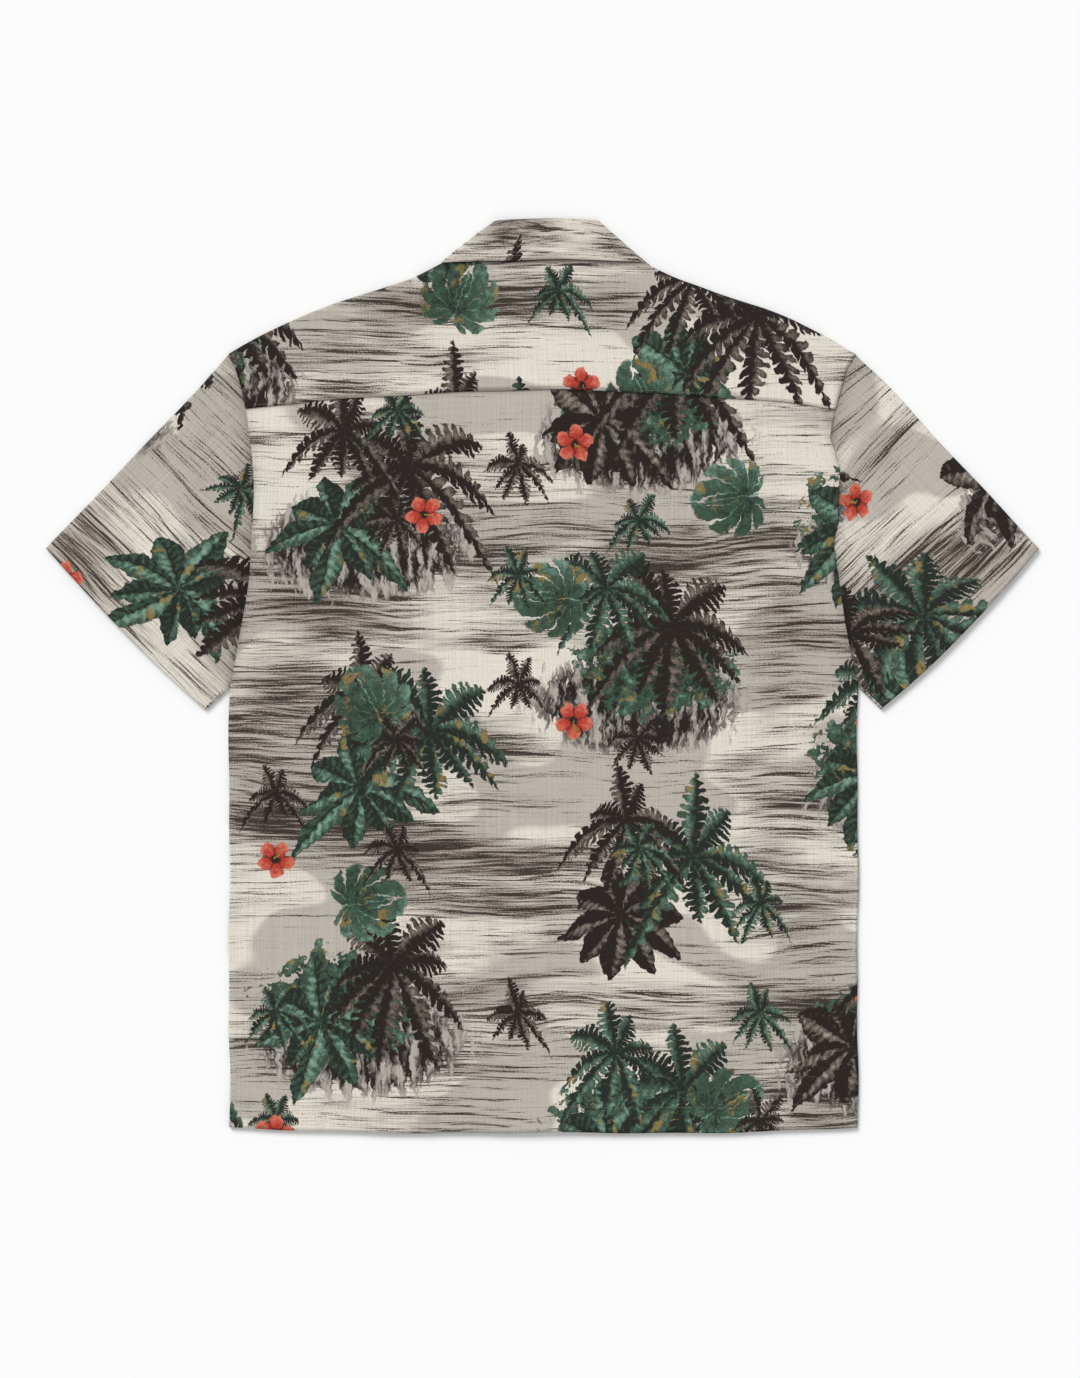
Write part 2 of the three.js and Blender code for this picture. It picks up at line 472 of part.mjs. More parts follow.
// The collar: a stand and a leaf in one, folded at the roll line and flattened round the neck.
// Each column is a place across it: the stand, the roll and the leaf.
const COLLAR_COLUMNS = [
  ...[0, 1 / 3, 2 / 3].map((share) => ({ part: "stand", share })),
  ...[0, 45, 90, 135, 180].map((turn) => ({ part: "roll", turn: THREE.MathUtils.degToRad(turn) })),
  ...[0.2, 0.4, 0.7, 1].map((share) => ({ part: "leaf", share })),
];
function collar() {
  const radiusOf = ({ part, turn }) => {
    if (part === "roll") return STAND_FOLD + (LAYER / 2) * (1 - Math.cos(turn));
    return part === "stand" ? STAND_FOLD : STAND_FOLD + LAYER;
  };
  const across = (column, seam, roll, edge, way) => {
    if (column.part === "stand") return between(seam, roll, column.share);
    if (column.part === "leaf") return between(roll, edge, column.share);
    return roll.clone().addScaledVector(way, (LAYER / 2) * Math.sin(column.turn));
  };
  const sideWay = between(NECK_SIDE, LEAF_SIDE, 0.5).sub(ROLL_CORNER).normalize().negate();
  const side = (column) => across(column, neckCorner(1), ROLL_CORNER, LEAF_SIDE, sideWay);
  const outOf = (column) => {
    if (column.part === "leaf") return LEAF_OUT;
    if (column.part === "roll") return between(COLLAR_OUT, LEAF_OUT, 0.5).normalize();
    return between(NECK_OUT, COLLAR_OUT, smooth(0, 0.5, column.share)).normalize();
  };
  const frontWay = leftOf(GORGE, ROLL_CORNER).negate();
  const ending = [[0, 0], [0.4, 1], [1, 0]];
  const notchLift = NOTCH.clone().sub(between(COLLAR_END, LEAF_POINT, 0.4));
  const front = steps(1, 0, COLLAR_FRONT_ROWS).slice(0, -1).map((w) =>
    COLLAR_COLUMNS.map((column) => {
      const way = between(sideWay, frontWay, smooth(0, 0.2, w)).normalize();
      const roll = between(ROLL_CORNER, COLLAR_END, w);
      const edge = between(LEAF_SIDE, LEAF_POINT, w);
      const p = across(column, frontSeam(w * STAND_END, 1), roll, edge, way);
      if (column.part === "leaf") p.addScaledVector(notchLift, readTable(ending, column.share) * w ** 3);
      return at(p, NECK_HEIGHT - radiusOf(column));
    }),
  );
  const wrap = steps(180, 0, FOLD_STEPS).map((turn) =>
    COLLAR_COLUMNS.map((column) => {
      const radius = radiusOf(column);
      return round(side(column), outOf(column), NECK_HEIGHT + radius, NECK_HEIGHT - radius, turn);
    }),
  );
  const back = steps(-1, 1, NECK_COLUMNS).slice(1, -1).map((u) =>
    COLLAR_COLUMNS.map((column) => {
      const seam = new THREE.Vector2(u * -NECK_SIDE.x, backSeamY(u * -NECK_SIDE.x, 1));
      const roll = new THREE.Vector2(u * -ROLL_CORNER.x, ROLL_CORNER.y + ROLL_RISE * (1 - u ** 4));
      const edge = new THREE.Vector2(u * -LEAF_SIDE.x, LEAF_SIDE.y + LEAF_EDGE_RISE * (1 - u * u));
      const p = across(column, seam, roll, edge, new THREE.Vector2(0, 1));
      return at(p, NECK_HEIGHT + radiusOf(column));
    }),
  );
  const left = [...front, ...wrap];
  const right = left.map((row) => row.map((p) => new THREE.Vector3(-p.x, p.y, p.z))).reverse();
  return new Cloth().grid([...left, ...back, ...right]).wall();
}

function button(centreY) {
  const disc = new THREE.Shape().absarc(0, 0, BUTTON_DIAMETER / 2 - 0.5, 0, 2 * Math.PI);
  for (const i of range(4)) {
    const turn = (i + 0.5) * (Math.PI / 2);
    const [x, y] = [1.6 * Math.cos(turn), 1.6 * Math.sin(turn)];
    disc.holes.push(new THREE.Path().absarc(x, y, 0.75, 0, 2 * Math.PI));
  }
  const geometry = new THREE.ExtrudeGeometry(disc, {
    depth: BUTTON_THICKNESS - 1,
    curveSegments: 6,
    bevelThickness: 0.5,
    bevelSize: 0.5,
    bevelSegments: 1,
  });
  return geometry.translate(0, centreY, 0.5);
}

const cloth = new THREE.MeshStandardMaterial({ color: "#d8ccb2", roughness: 0.9, metalness: 0 });
const shell = new THREE.MeshStandardMaterial({ color: "#6f5238", roughness: 0.45, metalness: 0 });

const group = new THREE.Group();
group.name = "hawaiian_shirt";
function add(name, geometry, material) {
  const mesh = new THREE.Mesh(geometry, material);
  mesh.name = name;
  group.add(mesh);
}
add("back", backPanel(), cloth);
add("yoke", yokePanel(), cloth);
add("front_left", frontPanel(false), cloth);
add("front_right", frontPanel(true), cloth);
add("sleeve_left", sleeve(false), cloth);
add("sleeve_right", sleeve(true), cloth);
add("collar", collar(), cloth);
buttonYs.forEach((y, i) => add(`button_${i + 1}`, button(y), shell));

export default group;
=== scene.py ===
import math

import bmesh
import bpy
import numpy as np
from mathutils import Matrix, Vector


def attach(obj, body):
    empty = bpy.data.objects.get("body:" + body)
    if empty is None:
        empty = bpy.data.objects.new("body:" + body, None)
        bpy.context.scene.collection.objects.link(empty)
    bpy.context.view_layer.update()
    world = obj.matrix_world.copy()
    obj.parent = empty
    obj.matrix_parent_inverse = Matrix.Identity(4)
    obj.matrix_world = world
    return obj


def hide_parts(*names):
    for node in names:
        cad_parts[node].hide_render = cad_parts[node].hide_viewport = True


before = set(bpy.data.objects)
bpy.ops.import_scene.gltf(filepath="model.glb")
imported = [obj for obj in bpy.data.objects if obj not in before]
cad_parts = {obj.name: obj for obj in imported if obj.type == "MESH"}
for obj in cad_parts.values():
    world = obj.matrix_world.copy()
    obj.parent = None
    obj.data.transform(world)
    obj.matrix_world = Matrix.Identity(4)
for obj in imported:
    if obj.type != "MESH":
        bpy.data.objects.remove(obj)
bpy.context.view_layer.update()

# A short-sleeved hawaiian shirt laid flat on its front. The shapes are worked out in millimetres,
# as in the CAD, and made in metres.
MM = 0.001
THICK = 0.9  # the cloth with its turned edges
LAYER = 1.5
FLOOR = THICK / 2 + 0.12  # the middle of the lowest cloth
TAU = 2 * math.pi
QUARTER_TURN = 1.57

# Body.
HALF_WIDTH = 272.5
HEM_Y = -396.2
HEM_BOW = 4.4
HEM_BOW_REACH = 120
UNDERARM_Y = -12.6
YOKE_SEAM_Y = 247
YOKE_SEAM_SAG = 17
YOKE_SEAM_HALF = 262
ARMHOLE_TOP_Y = 279
ARMHOLE_HOLLOW = 21.6
ARMHOLE_SKEW = 0.85
SIDE_FOLD = 1.65
YOKE_TURN = 25
UNDER_LAP = 5  # the back goes this far under the yoke
UNDER_SINK = 0.95

# The shoulder's fold line.
SHOULDER_SLOPE = 0.345
SHOULDER_LIFT = 6
SHOULDER_LIFT_WIDTH = 45
SHOULDER_DROP = 11.8
SHOULDER_DROP_X = 185
SHOULDER_END_X = 271.3

# Sleeve.
CUFF_TOP = Vector((-429, 108.6))
CUFF_BOTTOM = Vector((-294.2, -28.2))
UNDERARM = Vector((-274.4, -9.4))
CUFF_BOW = 3.5
ARM_LAP = 5  # the sleeve goes this far under the body's edge
ARM_SINK = 0.85

# Collar and neck, all on the left half.
ROLL_CORNER = Vector((-43.5, 393))
ROLL_RISE = 1.2
LEAF_SIDE = Vector((-86.8, 357.1))
NECK_SIDE = Vector((-77.3, 361.4))
NECK_RISE = 3.6
LEAF_EDGE_RISE = 1.4
LEAF_POINT = Vector((-86, 292))
NOTCH = Vector((-50, 326))
LAPEL_TIP = Vector((-60, 297))
GORGE = Vector((-24, 315))
BREAK = Vector((-4, 243))
LAPEL_START = 4
NECK_HEIGHT = 3.3
STAND_FOLD = 1.2
ROLL_END = 0.95
STAND_END = 0.91
LEAF_LIFT = 1.3
NECK_SHARES = (0.86, 0.8, 0.75, 0.7, 0.65, 0.6, 0.55, 0.5, 0.45, 0.41, 0.37, 0.34, 0.32)

# Front closing.
OVERLAP = 17
BUTTON_THICKNESS = 2.4
BUTTON_ROOM = 0.3
BUTTON_YS = [214 - 106 * i for i in range(5)]

# Loft of the upper layer over the lower one.
EDGE_LEVEL = 0.6 + 2 * SIDE_FOLD
BODY_CROWN = 1.3
PLACKET_RIDGE = 1.3
PLACKET_RIDGE_WIDTH = 36
SLEEVE_SEAM_LEVEL = 3.5
SLEEVE_CROWN = 0.9

# The right armhole bows inwards beside the yoke and outwards below it.
ARMHOLE_BOW_X = 254
ARMHOLE_BOW_WIDTH = 24
ARMHOLE_BOW_IN = 6.5
ARMHOLE_BOW_OUT = 5.0

# Folds: middle, direction from +X in degrees, half-length, half-width and height.
BACK_FOLDS = [
    (-196, 60, 72, 130, 22, 0.7),
    (204, 40, 106, 140, 24, 0.75),
    (-120, -210, 84, 150, 28, 0.55),
    (132, -230, 97, 140, 30, 0.6),
    (-62, -330, 92, 90, 22, -0.45),
    (78, 120, 88, 120, 26, -0.4),
]
# Smaller creases.
BACK_CREASES = [
    (-222, 128, 66, 95, 7, 0.5),
    (-206, 20, 80, 120, 9, -0.45),
    (-238, -60, 58, 70, 6, 0.4),
    (-150, 150, 20, 70, 8, -0.3),
    (228, 150, 108, 90, 7, 0.55),
    (214, 70, 98, 130, 9, -0.5),
    (236, -48, 122, 75, 6, 0.45),
    (160, 190, 155, 60, 8, -0.3),
    (-30, 60, 96, 150, 12, 0.3),
    (40, -110, 84, 120, 13, -0.32),
    (-172, -300, 78, 85, 10, 0.4),
    (-96, -90, 101, 110, 14, 0.28),
    (186, -330, 100, 60, 9, -0.35),
    (110, -40, 92, 90, 12, 0.25),
    (-226, -190, 88, 120, 8, -0.35),
    (238, -220, 91, 110, 8, 0.35),
    (10, -340, 80, 60, 11, 0.3),
    (-60, 206, 4, 90, 7, 0.2),
    (84, 214, -5, 70, 7, -0.2),
]
YOKE_CREASES = [
    (-150, 282, -12, 80, 8, 0.25),
    (120, 290, 18, 70, 7, -0.22),
    (-214, 268, 70, 40, 6, 0.3),
    (216, 262, 112, 40, 6, 0.3),
    (10, 300, 3, 90, 9, 0.2),
]
FRONT_CREASES = [
    (-150, 90, 70, 140, 16, 0.5),
    (-90, -160, 94, 150, 18, 0.45),
    (-200, -240, 82, 120, 14, 0.4),
    (-190, 170, 40, 70, 12, 0.35),
]
# On a sleeve, x runs down from the armhole and y across from the top edge.
SLEEVE_CREASES = [
    (22, 190, 62, 60, 6, 0.5),
    (38, 225, 40, 70, 6, -0.5),
    (60, 245, 22, 80, 7, 0.45),
    (70, 30, 12, 80, 8, 0.35),
    (100, 140, 8, 90, 9, -0.3),
    (18, 80, 84, 70, 5, -0.4),
]
LEFT_SLEEVE_FOLDS = [
    (30, 120, 86, 110, 15, 0.7),
    (130, 70, 28, 90, 20, 0.6),
    (135, 165, -16, 80, 18, -0.5),
]
RIGHT_SLEEVE_FOLDS = [
    (24, 130, 84, 130, 14, 0.9),
    (110, 95, 40, 90, 20, 0.5),
    (150, 190, -10, 80, 18, -0.45),
]


def lerp(a, b, t):
    return a + (b - a) * t


def clamp01(t):
    return min(1.0, max(0.0, t))


def smooth(low, high, value):
    t = clamp01((value - low) / (high - low))
    return t * t * (3 - 2 * t)


def steps(start, end, count):
    return [lerp(start, end, i / count) for i in range(count + 1)]


def unit(v):
    return v.normalized()


def left_of(a, b):
    return Vector((a.y - b.y, b.x - a.x)).normalized()


def at(p, z):
    return Vector((p[0], p[1], z))


def read_table(table, value):
    keys = [key for key, _ in table]
    return float(np.interp(value, keys, [v for _, v in table]))


def spread(points, count):
    """The same line, cut again into this many even steps."""
    lengths = [(b - a).length for a, b in zip(points, points[1:])]
    marks = np.concatenate([[0], np.cumsum(lengths)])
    axes = [[p[k] for p in points] for k in range(len(points[0]))]
    wanted = np.linspace(0, marks[-1], count + 1)
    return [Vector([float(np.interp(mark, marks, axis)) for axis in axes]) for mark in wanted]


def folds_at(table, x, y):
    """The height of a table's folds at a place."""
    total = 0
    for fx, fy, turn, reach, width, rise in table:
        turn = math.radians(turn)
        along = (x - fx) * math.cos(turn) + (y - fy) * math.sin(turn)
        across = (y - fy) * math.cos(turn) - (x - fx) * math.sin(turn)
        if abs(along) < reach and abs(across) < 3 * width:
            fade = 1 - smooth(0.35, 1, abs(along) / reach)
            total += rise * fade * math.exp(-((across / width) ** 2))
    return total


# Outlines on the plan.
def armhole_x(y):
    t = clamp01((ARMHOLE_TOP_Y - y) / (ARMHOLE_TOP_Y - UNDERARM_Y))
    return HALF_WIDTH - ARMHOLE_HOLLOW * math.sin(math.pi * t**ARMHOLE_SKEW)


def hem_lift(x, y):
    return HEM_BOW * (x / HALF_WIDTH) ** 4 * (1 - smooth(HEM_Y, HEM_Y + HEM_BOW_REACH, y))


def yoke_seam_y(x):
    return YOKE_SEAM_Y - YOKE_SEAM_SAG * (x / YOKE_SEAM_HALF) ** 2


YOKE_END_Y = yoke_seam_y(armhole_x(YOKE_SEAM_Y - YOKE_SEAM_SAG))


def shoulder_line(t):
    x = lerp(-NECK_SIDE.x, SHOULDER_END_X, t)
    past = max(0, (x - SHOULDER_DROP_X) / (SHOULDER_END_X - SHOULDER_DROP_X))
    lift = SHOULDER_LIFT * clamp01(1 - (x + NECK_SIDE.x) / SHOULDER_LIFT_WIDTH) ** 1.5
    y = NECK_SIDE.y - SHOULDER_LIFT + lift - SHOULDER_SLOPE * (x + NECK_SIDE.x)
    return Vector((-x, y - SHOULDER_DROP * past**1.8))


SHOULDER_END = shoulder_line(1)
SHOULDER_OUT = -left_of(shoulder_line(0.97), shoulder_line(1))
SLEEVE_OUT = -left_of(SHOULDER_END, CUFF_TOP)
TIP_OUT = unit(SHOULDER_OUT + SLEEVE_OUT)
COLLAR_OUT = left_of(NECK_SIDE, ROLL_CORNER)
LEAF_OUT = left_of(LEAF_SIDE, ROLL_CORNER)
NECK_OUT = unit(-left_of(shoulder_line(0), shoulder_line(0.05)) + COLLAR_OUT)


def back_seam_y(x):
    return NECK_SIDE.y + NECK_RISE * (1 - (x / NECK_SIDE.x) ** 2)


def front_seam(t):
    return NECK_SIDE.lerp(GORGE, t)


COLLAR_END = ROLL_CORNER.lerp(GORGE, ROLL_END)
YOKE_FRONT_NECK = front_seam(0.32)
YOKE_FRONT_ARM_Y = ARMHOLE_TOP_Y - YOKE_TURN
YOKE_FRONT_ARM = Vector((-armhole_x(YOKE_FRONT_ARM_Y), YOKE_FRONT_ARM_Y))


def distance_to(polygon, x, y):
    """How far a place is outside a polygon, and 0 inside it."""
    inside = False
    nearest = 1e9
    for i, a in enumerate(polygon):
        b = polygon[(i + 1) % len(polygon)]
        if (a.y > y) != (b.y > y) and x < (b.x - a.x) * (y - a.y) / (b.y - a.y) + a.x:
            inside = not inside
        edge = b - a
        t = clamp01(((x - a.x) * edge.x + (y - a.y) * edge.y) / edge.length_squared)
        nearest = min(nearest, math.hypot(x - a.x - t * edge.x, y - a.y - t * edge.y))
    return 0 if inside else nearest


# Heights.
TURNED_OUT = [ROLL_CORNER, LEAF_SIDE, LEAF_POINT, LAPEL_TIP, BREAK]


def front_level(x, y):
    """The fronts lie on the floor, and over the turned-out collar and the buttons."""
    away = distance_to(TURNED_OUT, -abs(x), y)
    reach = min(math.hypot(x, y - b) for b in BUTTON_YS)
    turned = 1 - smooth(22, 46, away) if y > 190 else 0
    button = 1 - smooth(11.4, 24, reach)
    clear = smooth(46, 70, away) * smooth(24, 50, reach) * smooth(262, 235, abs(x))
    crease = max(0, folds_at(FRONT_CREASES, -abs(x), y)) * clear if y < 200 else 0
    return FLOOR + max(LAYER * turned, (BUTTON_THICKNESS + BUTTON_ROOM) * button) + crease


def overlap_lift(x, y):
    across = 1 - smooth(OVERLAP + 4, OVERLAP + 26, x)
    return LAYER * across * (1 - smooth(BREAK.y, BREAK.y + 36, y))


def back_level(x, y):
    out = min(1, abs(x) / YOKE_SEAM_HALF)
    neck = smooth(290, 350, y) * (1 - smooth(95, 170, abs(x)))
    opened = 1 - smooth(236, 320, y)
    ridge = PLACKET_RIDGE * math.exp(-((x / PLACKET_RIDGE_WIDTH) ** 2))
    hem = 1 - 0.3 * smooth(-330, HEM_Y, y)
    still = 1 - smooth(0.84, 1, out)
    small = folds_at(BACK_CREASES, x, y) * (1 - smooth(0.9, 0.99, out))
    crown = BODY_CROWN * (1 - out**2) * hem
    loft = (crown + ridge + folds_at(BACK_FOLDS, x, y) * still + small) * opened
    loft += folds_at(YOKE_CREASES, x, y) * smooth(250, 262, y) * smooth(345, 330, y)
    return lerp(EDGE_LEVEL + loft, NECK_HEIGHT + STAND_FOLD, neck)


def wander(p):
    """The shirt isn't laid quite straight: a place moves by up to a millimetre, and the right
    armhole by its bow."""
    dx = 0.55 * math.sin(p.y / 31 + 0.6) + 0.45 * math.sin(p.y / 13.7 + 2.1)
    dy = 0.5 * math.sin(p.x / 37 + 1.3) + 0.4 * math.sin(p.x / 15.1 + 0.4)
    near = math.exp(-(((p.x - ARMHOLE_BOW_X) / ARMHOLE_BOW_WIDTH) ** 2))
    dx -= ARMHOLE_BOW_IN * near * smooth(292, 262, p.y) * smooth(190, 208, p.y)
    dx += ARMHOLE_BOW_OUT * near * smooth(192, 176, p.y) * smooth(112, 135, p.y)
    return Vector((p.x + dx, p.y + dy, p.z))


def painted_seam_shade(p, on_sleeve):
    """How much painted shade a place on the upper layer gets for being near a seam or under an
    edge, from 0 to 1.
    """
    if p.z < 2.2:
        return 0
    x, y = abs(p.x), p.y
    shade = 0
    # Painted shade on the sleeve beside the armhole and on the body's edge there, then below the
    # yoke seam.
    if y > UNDERARM_Y:
        off = x - armhole_x(y)
        shade = math.exp(-max(0, off if on_sleeve else -off) / (7 if on_sleeve else 2.5))
    if not on_sleeve:
        below = yoke_seam_y(x) - y
        if below > -1:
            shade = max(shade, 0.8 * math.exp(-max(0, below) / 2.5))
        # A painted shadow under the collar leaf's edge, darkest just below it.
        below = LEAF_SIDE.y + 1 + 0.006 * p.x + LEAF_EDGE_RISE * (1 - (x / 87) ** 2) - y
        if x < 93 and below > -4:
            shade = max(shade, 2.7 * math.exp(-max(0, below) / 2.1))
    return shade


# Making the pieces.
class Cloth:
    """A cloth piece laid out as grids that are joined where they meet, with its print's place."""

    def __init__(self, name, cut_at, turned_over=False):
        self.name = name
        self.cut_at = Vector(cut_at)
        self.turned_over = turned_over
        self.bm = bmesh.new()
        self.uv = self.bm.loops.layers.uv.new("print")
        # The seam layer holds each place's painted shade near seams and under the collar's edge.
        self.seam = self.bm.verts.layers.float.new("seam")

    def grid(self, rows, prints):
        """rows are lines of points in millimetres, and prints their places on the printed cloth."""
        tall, wide = len(rows) - 1, len(rows[0]) - 1
        made = bmesh.ops.create_grid(self.bm, x_segments=wide, y_segments=tall, size=0.5)["verts"]
        place = {}
        for v in made:
            i, j = round((v.co.y + 0.5) * tall), round((v.co.x + 0.5) * wide)
            x, y = prints[i][j]
            place[v] = Vector((-x if self.turned_over else x, y)) + self.cut_at
            # Painted shade near the seams, which darkens the cloth's colour; the collar gets none.
            if "collar" not in self.name:
                v[self.seam] = painted_seam_shade(rows[i][j], "sleeve" in self.name)
            v.co = wander(rows[i][j]) * MM
        for face in {f for v in made for f in v.link_faces}:
            for loop in face.loops:
                loop[self.uv].uv = place[loop.vert] * MM
        return self

    def finish(self, up, low=None):
        """up says which way the outer side of the highest faces looks."""
        bm = self.bm
        bmesh.ops.remove_doubles(bm, verts=bm.verts, dist=0.02 * MM)
        bm.normal_update()
        faces = [f for f in bm.faces if low is None or f.calc_center_median().z > low * MM]
        if sum(f.normal.z * f.calc_area() for f in faces) * up < 0:
            bmesh.ops.reverse_faces(bm, faces=bm.faces)
        for f in bm.faces:
            f.smooth = True
        piece = mesh_object(self.name, bm)
        wall = piece.modifiers.new("wall", "SOLIDIFY")
        wall.thickness = THICK * MM
        wall.offset = 0
        wall.use_even_offset = False
        wall.material_offset = 1
        return piece


def flipped(rows):
    return [[Vector((-p.x, *p[1:])) for p in row] for row in rows]


def round_fold(line, outward, top, bottom, turn):
    """A place on the half circle that joins an upper layer to a lower one."""
    radius = (top - bottom) / 2
    p = line + outward * (radius * math.sin(turn))
    return at(p, bottom + radius * (1 + math.cos(turn)))


SIDE_ANGLE = math.pi / 2 - 0.12


def side_edge(y, level, direction, count=8):
    """The turn of a layer at the side below the armhole, with its place on the print."""
    bend = 1 - smooth(UNDERARM_Y, UNDERARM_Y + 14, y)
    flat = SIDE_FOLD * SIDE_ANGLE
    start = lerp(armhole_x(y) - flat, HALF_WIDTH - 0.6 - SIDE_FOLD, bend)
    out = []
    for share in steps(0, 1, count):
        length = flat * share
        angle = length / SIDE_FOLD * bend
        across = length if bend < 1e-3 else SIDE_FOLD / bend * math.sin(angle)
        fall = 0 if bend < 1e-3 else SIDE_FOLD / bend * (1 - math.cos(angle))
        x = -(start + across)
        edge = Vector((x, y + hem_lift(x, y), level(-start, y) - direction * fall))
        out.append((edge, Vector((-start - length, y))))
    return out


def make_back():
    top = YOKE_END_Y
    ys = steps(HEM_Y, UNDERARM_Y, 110)
    ys += steps(UNDERARM_Y + 2, UNDERARM_Y + 14, 6)
    ys += steps(UNDERARM_Y + 18, top, 66)
    rows, prints = [], []
    for edge_y in ys:
        v = (edge_y - HEM_Y) / (top - HEM_Y)
        left = side_edge(edge_y, back_level, 1)[::-1]
        right = side_edge(edge_y, lambda x, y: back_level(-x, y), 1)
        start = left[-1][0].x
        row, spots = [p for p, _ in left], [q for _, q in left]
        for x in steps(start, -start, 130)[1:-1]:
            y = lerp(HEM_Y, yoke_seam_y(x), v)
            row.append(Vector((x, y + hem_lift(x, y), back_level(x, y))))
            spots.append(Vector((x, y)))
        rows.append(row + [Vector((-p.x, p.y, p.z)) for p, _ in right])
        prints.append(spots + [Vector((-q.x, q.y)) for _, q in right])
    # The upper edge goes under the yoke.
    for reach in steps(0, UNDER_LAP, 4)[1:]:
        rows.append([p + Vector((0, reach, 0)) for p in rows[len(ys) - 1]])
        prints.append([q + Vector((0, reach)) for q in prints[len(ys) - 1]])
    for row in rows:
        for p in row:
            p.z -= UNDER_SINK * smooth(9, 1, yoke_seam_y(p.x) - p.y)
    return Cloth("back_cloth", (0, 0)).grid(rows, prints).finish(up=1)


def shoulder_out(t):
    here = -left_of(shoulder_line(max(0, t - 0.02)), shoulder_line(min(1, t + 0.02)))
    return unit(here.lerp(NECK_OUT, 1 - smooth(0, 0.12, t)).lerp(TIP_OUT, smooth(0.88, 1, t)))


YOKE_SHARES = [1 - (1 - s) ** 1.8 for s in steps(0, 1, 44)]  # closest together under the collar


def make_yoke():
    cloth = Cloth("yoke_cloth", (385, 610))

    def half(mirror):
        rows, prints = [], []
        for t in steps(1, 0, 64):
            line = shoulder_line(t)
            out = shoulder_out(t)
            row, spots = [], []
            for v in YOKE_SHARES:
                edge_y = lerp(YOKE_END_Y, SHOULDER_END.y, v)
                x = lerp(NECK_SIDE.x, -armhole_x(edge_y), t)
                x = lerp(x, line.x, smooth(0.8, 1, v))
                seam_x = lerp(NECK_SIDE.x, -armhole_x(YOKE_END_Y), t)
                y = lerp(yoke_seam_y(seam_x), line.y, v)
                row.append(Vector((x, y, back_level(mirror * x, y))))
                spots.append(Vector((x, y)))
            top, bottom = row[-1].z, front_level(line.x, line.y)
            for turn in steps(0, math.pi, 10)[1:]:
                row.append(round_fold(line, out, top, bottom, turn))
                spots.append(line + out * ((top - bottom) / 2 * turn))
            end = YOKE_FRONT_ARM if t == 1 else YOKE_FRONT_NECK.lerp(YOKE_FRONT_ARM, t)
            for v in steps(0, 1, 10)[1:]:
                p = line.lerp(end, v)
                if t == 1:
                    p.x = -armhole_x(p.y)
                row.append(at(p, front_level(p.x, p.y)))
                spots.append(line + out * ((top - bottom) * QUARTER_TURN + (p - line).length))
            rows.append(row)
            prints.append(spots)
        return rows, prints

    left, right = half(1), half(-1)
    cloth.grid(*left)
    cloth.grid(flipped(right[0])[::-1], flipped(right[1])[::-1])
    rows, prints = [], []
    for x in steps(NECK_SIDE.x, -NECK_SIDE.x, 40):
        row, spots = [], []
        for v in YOKE_SHARES:
            y = lerp(yoke_seam_y(x), back_seam_y(x), v)
            row.append(Vector((x, y, back_level(x, y))))
            spots.append(Vector((x, y)))
        rows.append(row)
        prints.append(spots)
    cloth.grid(rows, prints)
    return cloth.finish(up=1, low=3)


def resampled(points, counts):
    """The line with each of its stretches cut into this many steps."""
    out = [points[0]]
    for a, b, count in zip(points, points[1:], counts):
        out += [a.lerp(b, i / count) for i in range(1, count + 1)]
    return out


# Which height on the front edge goes with which height at the side.
SIDE_ROWS = [
    (HEM_Y, HEM_Y),
    (-20, -24),
    (-6, UNDERARM_Y),
    (2, UNDERARM_Y + 7),
    (10, UNDERARM_Y + 14),
]


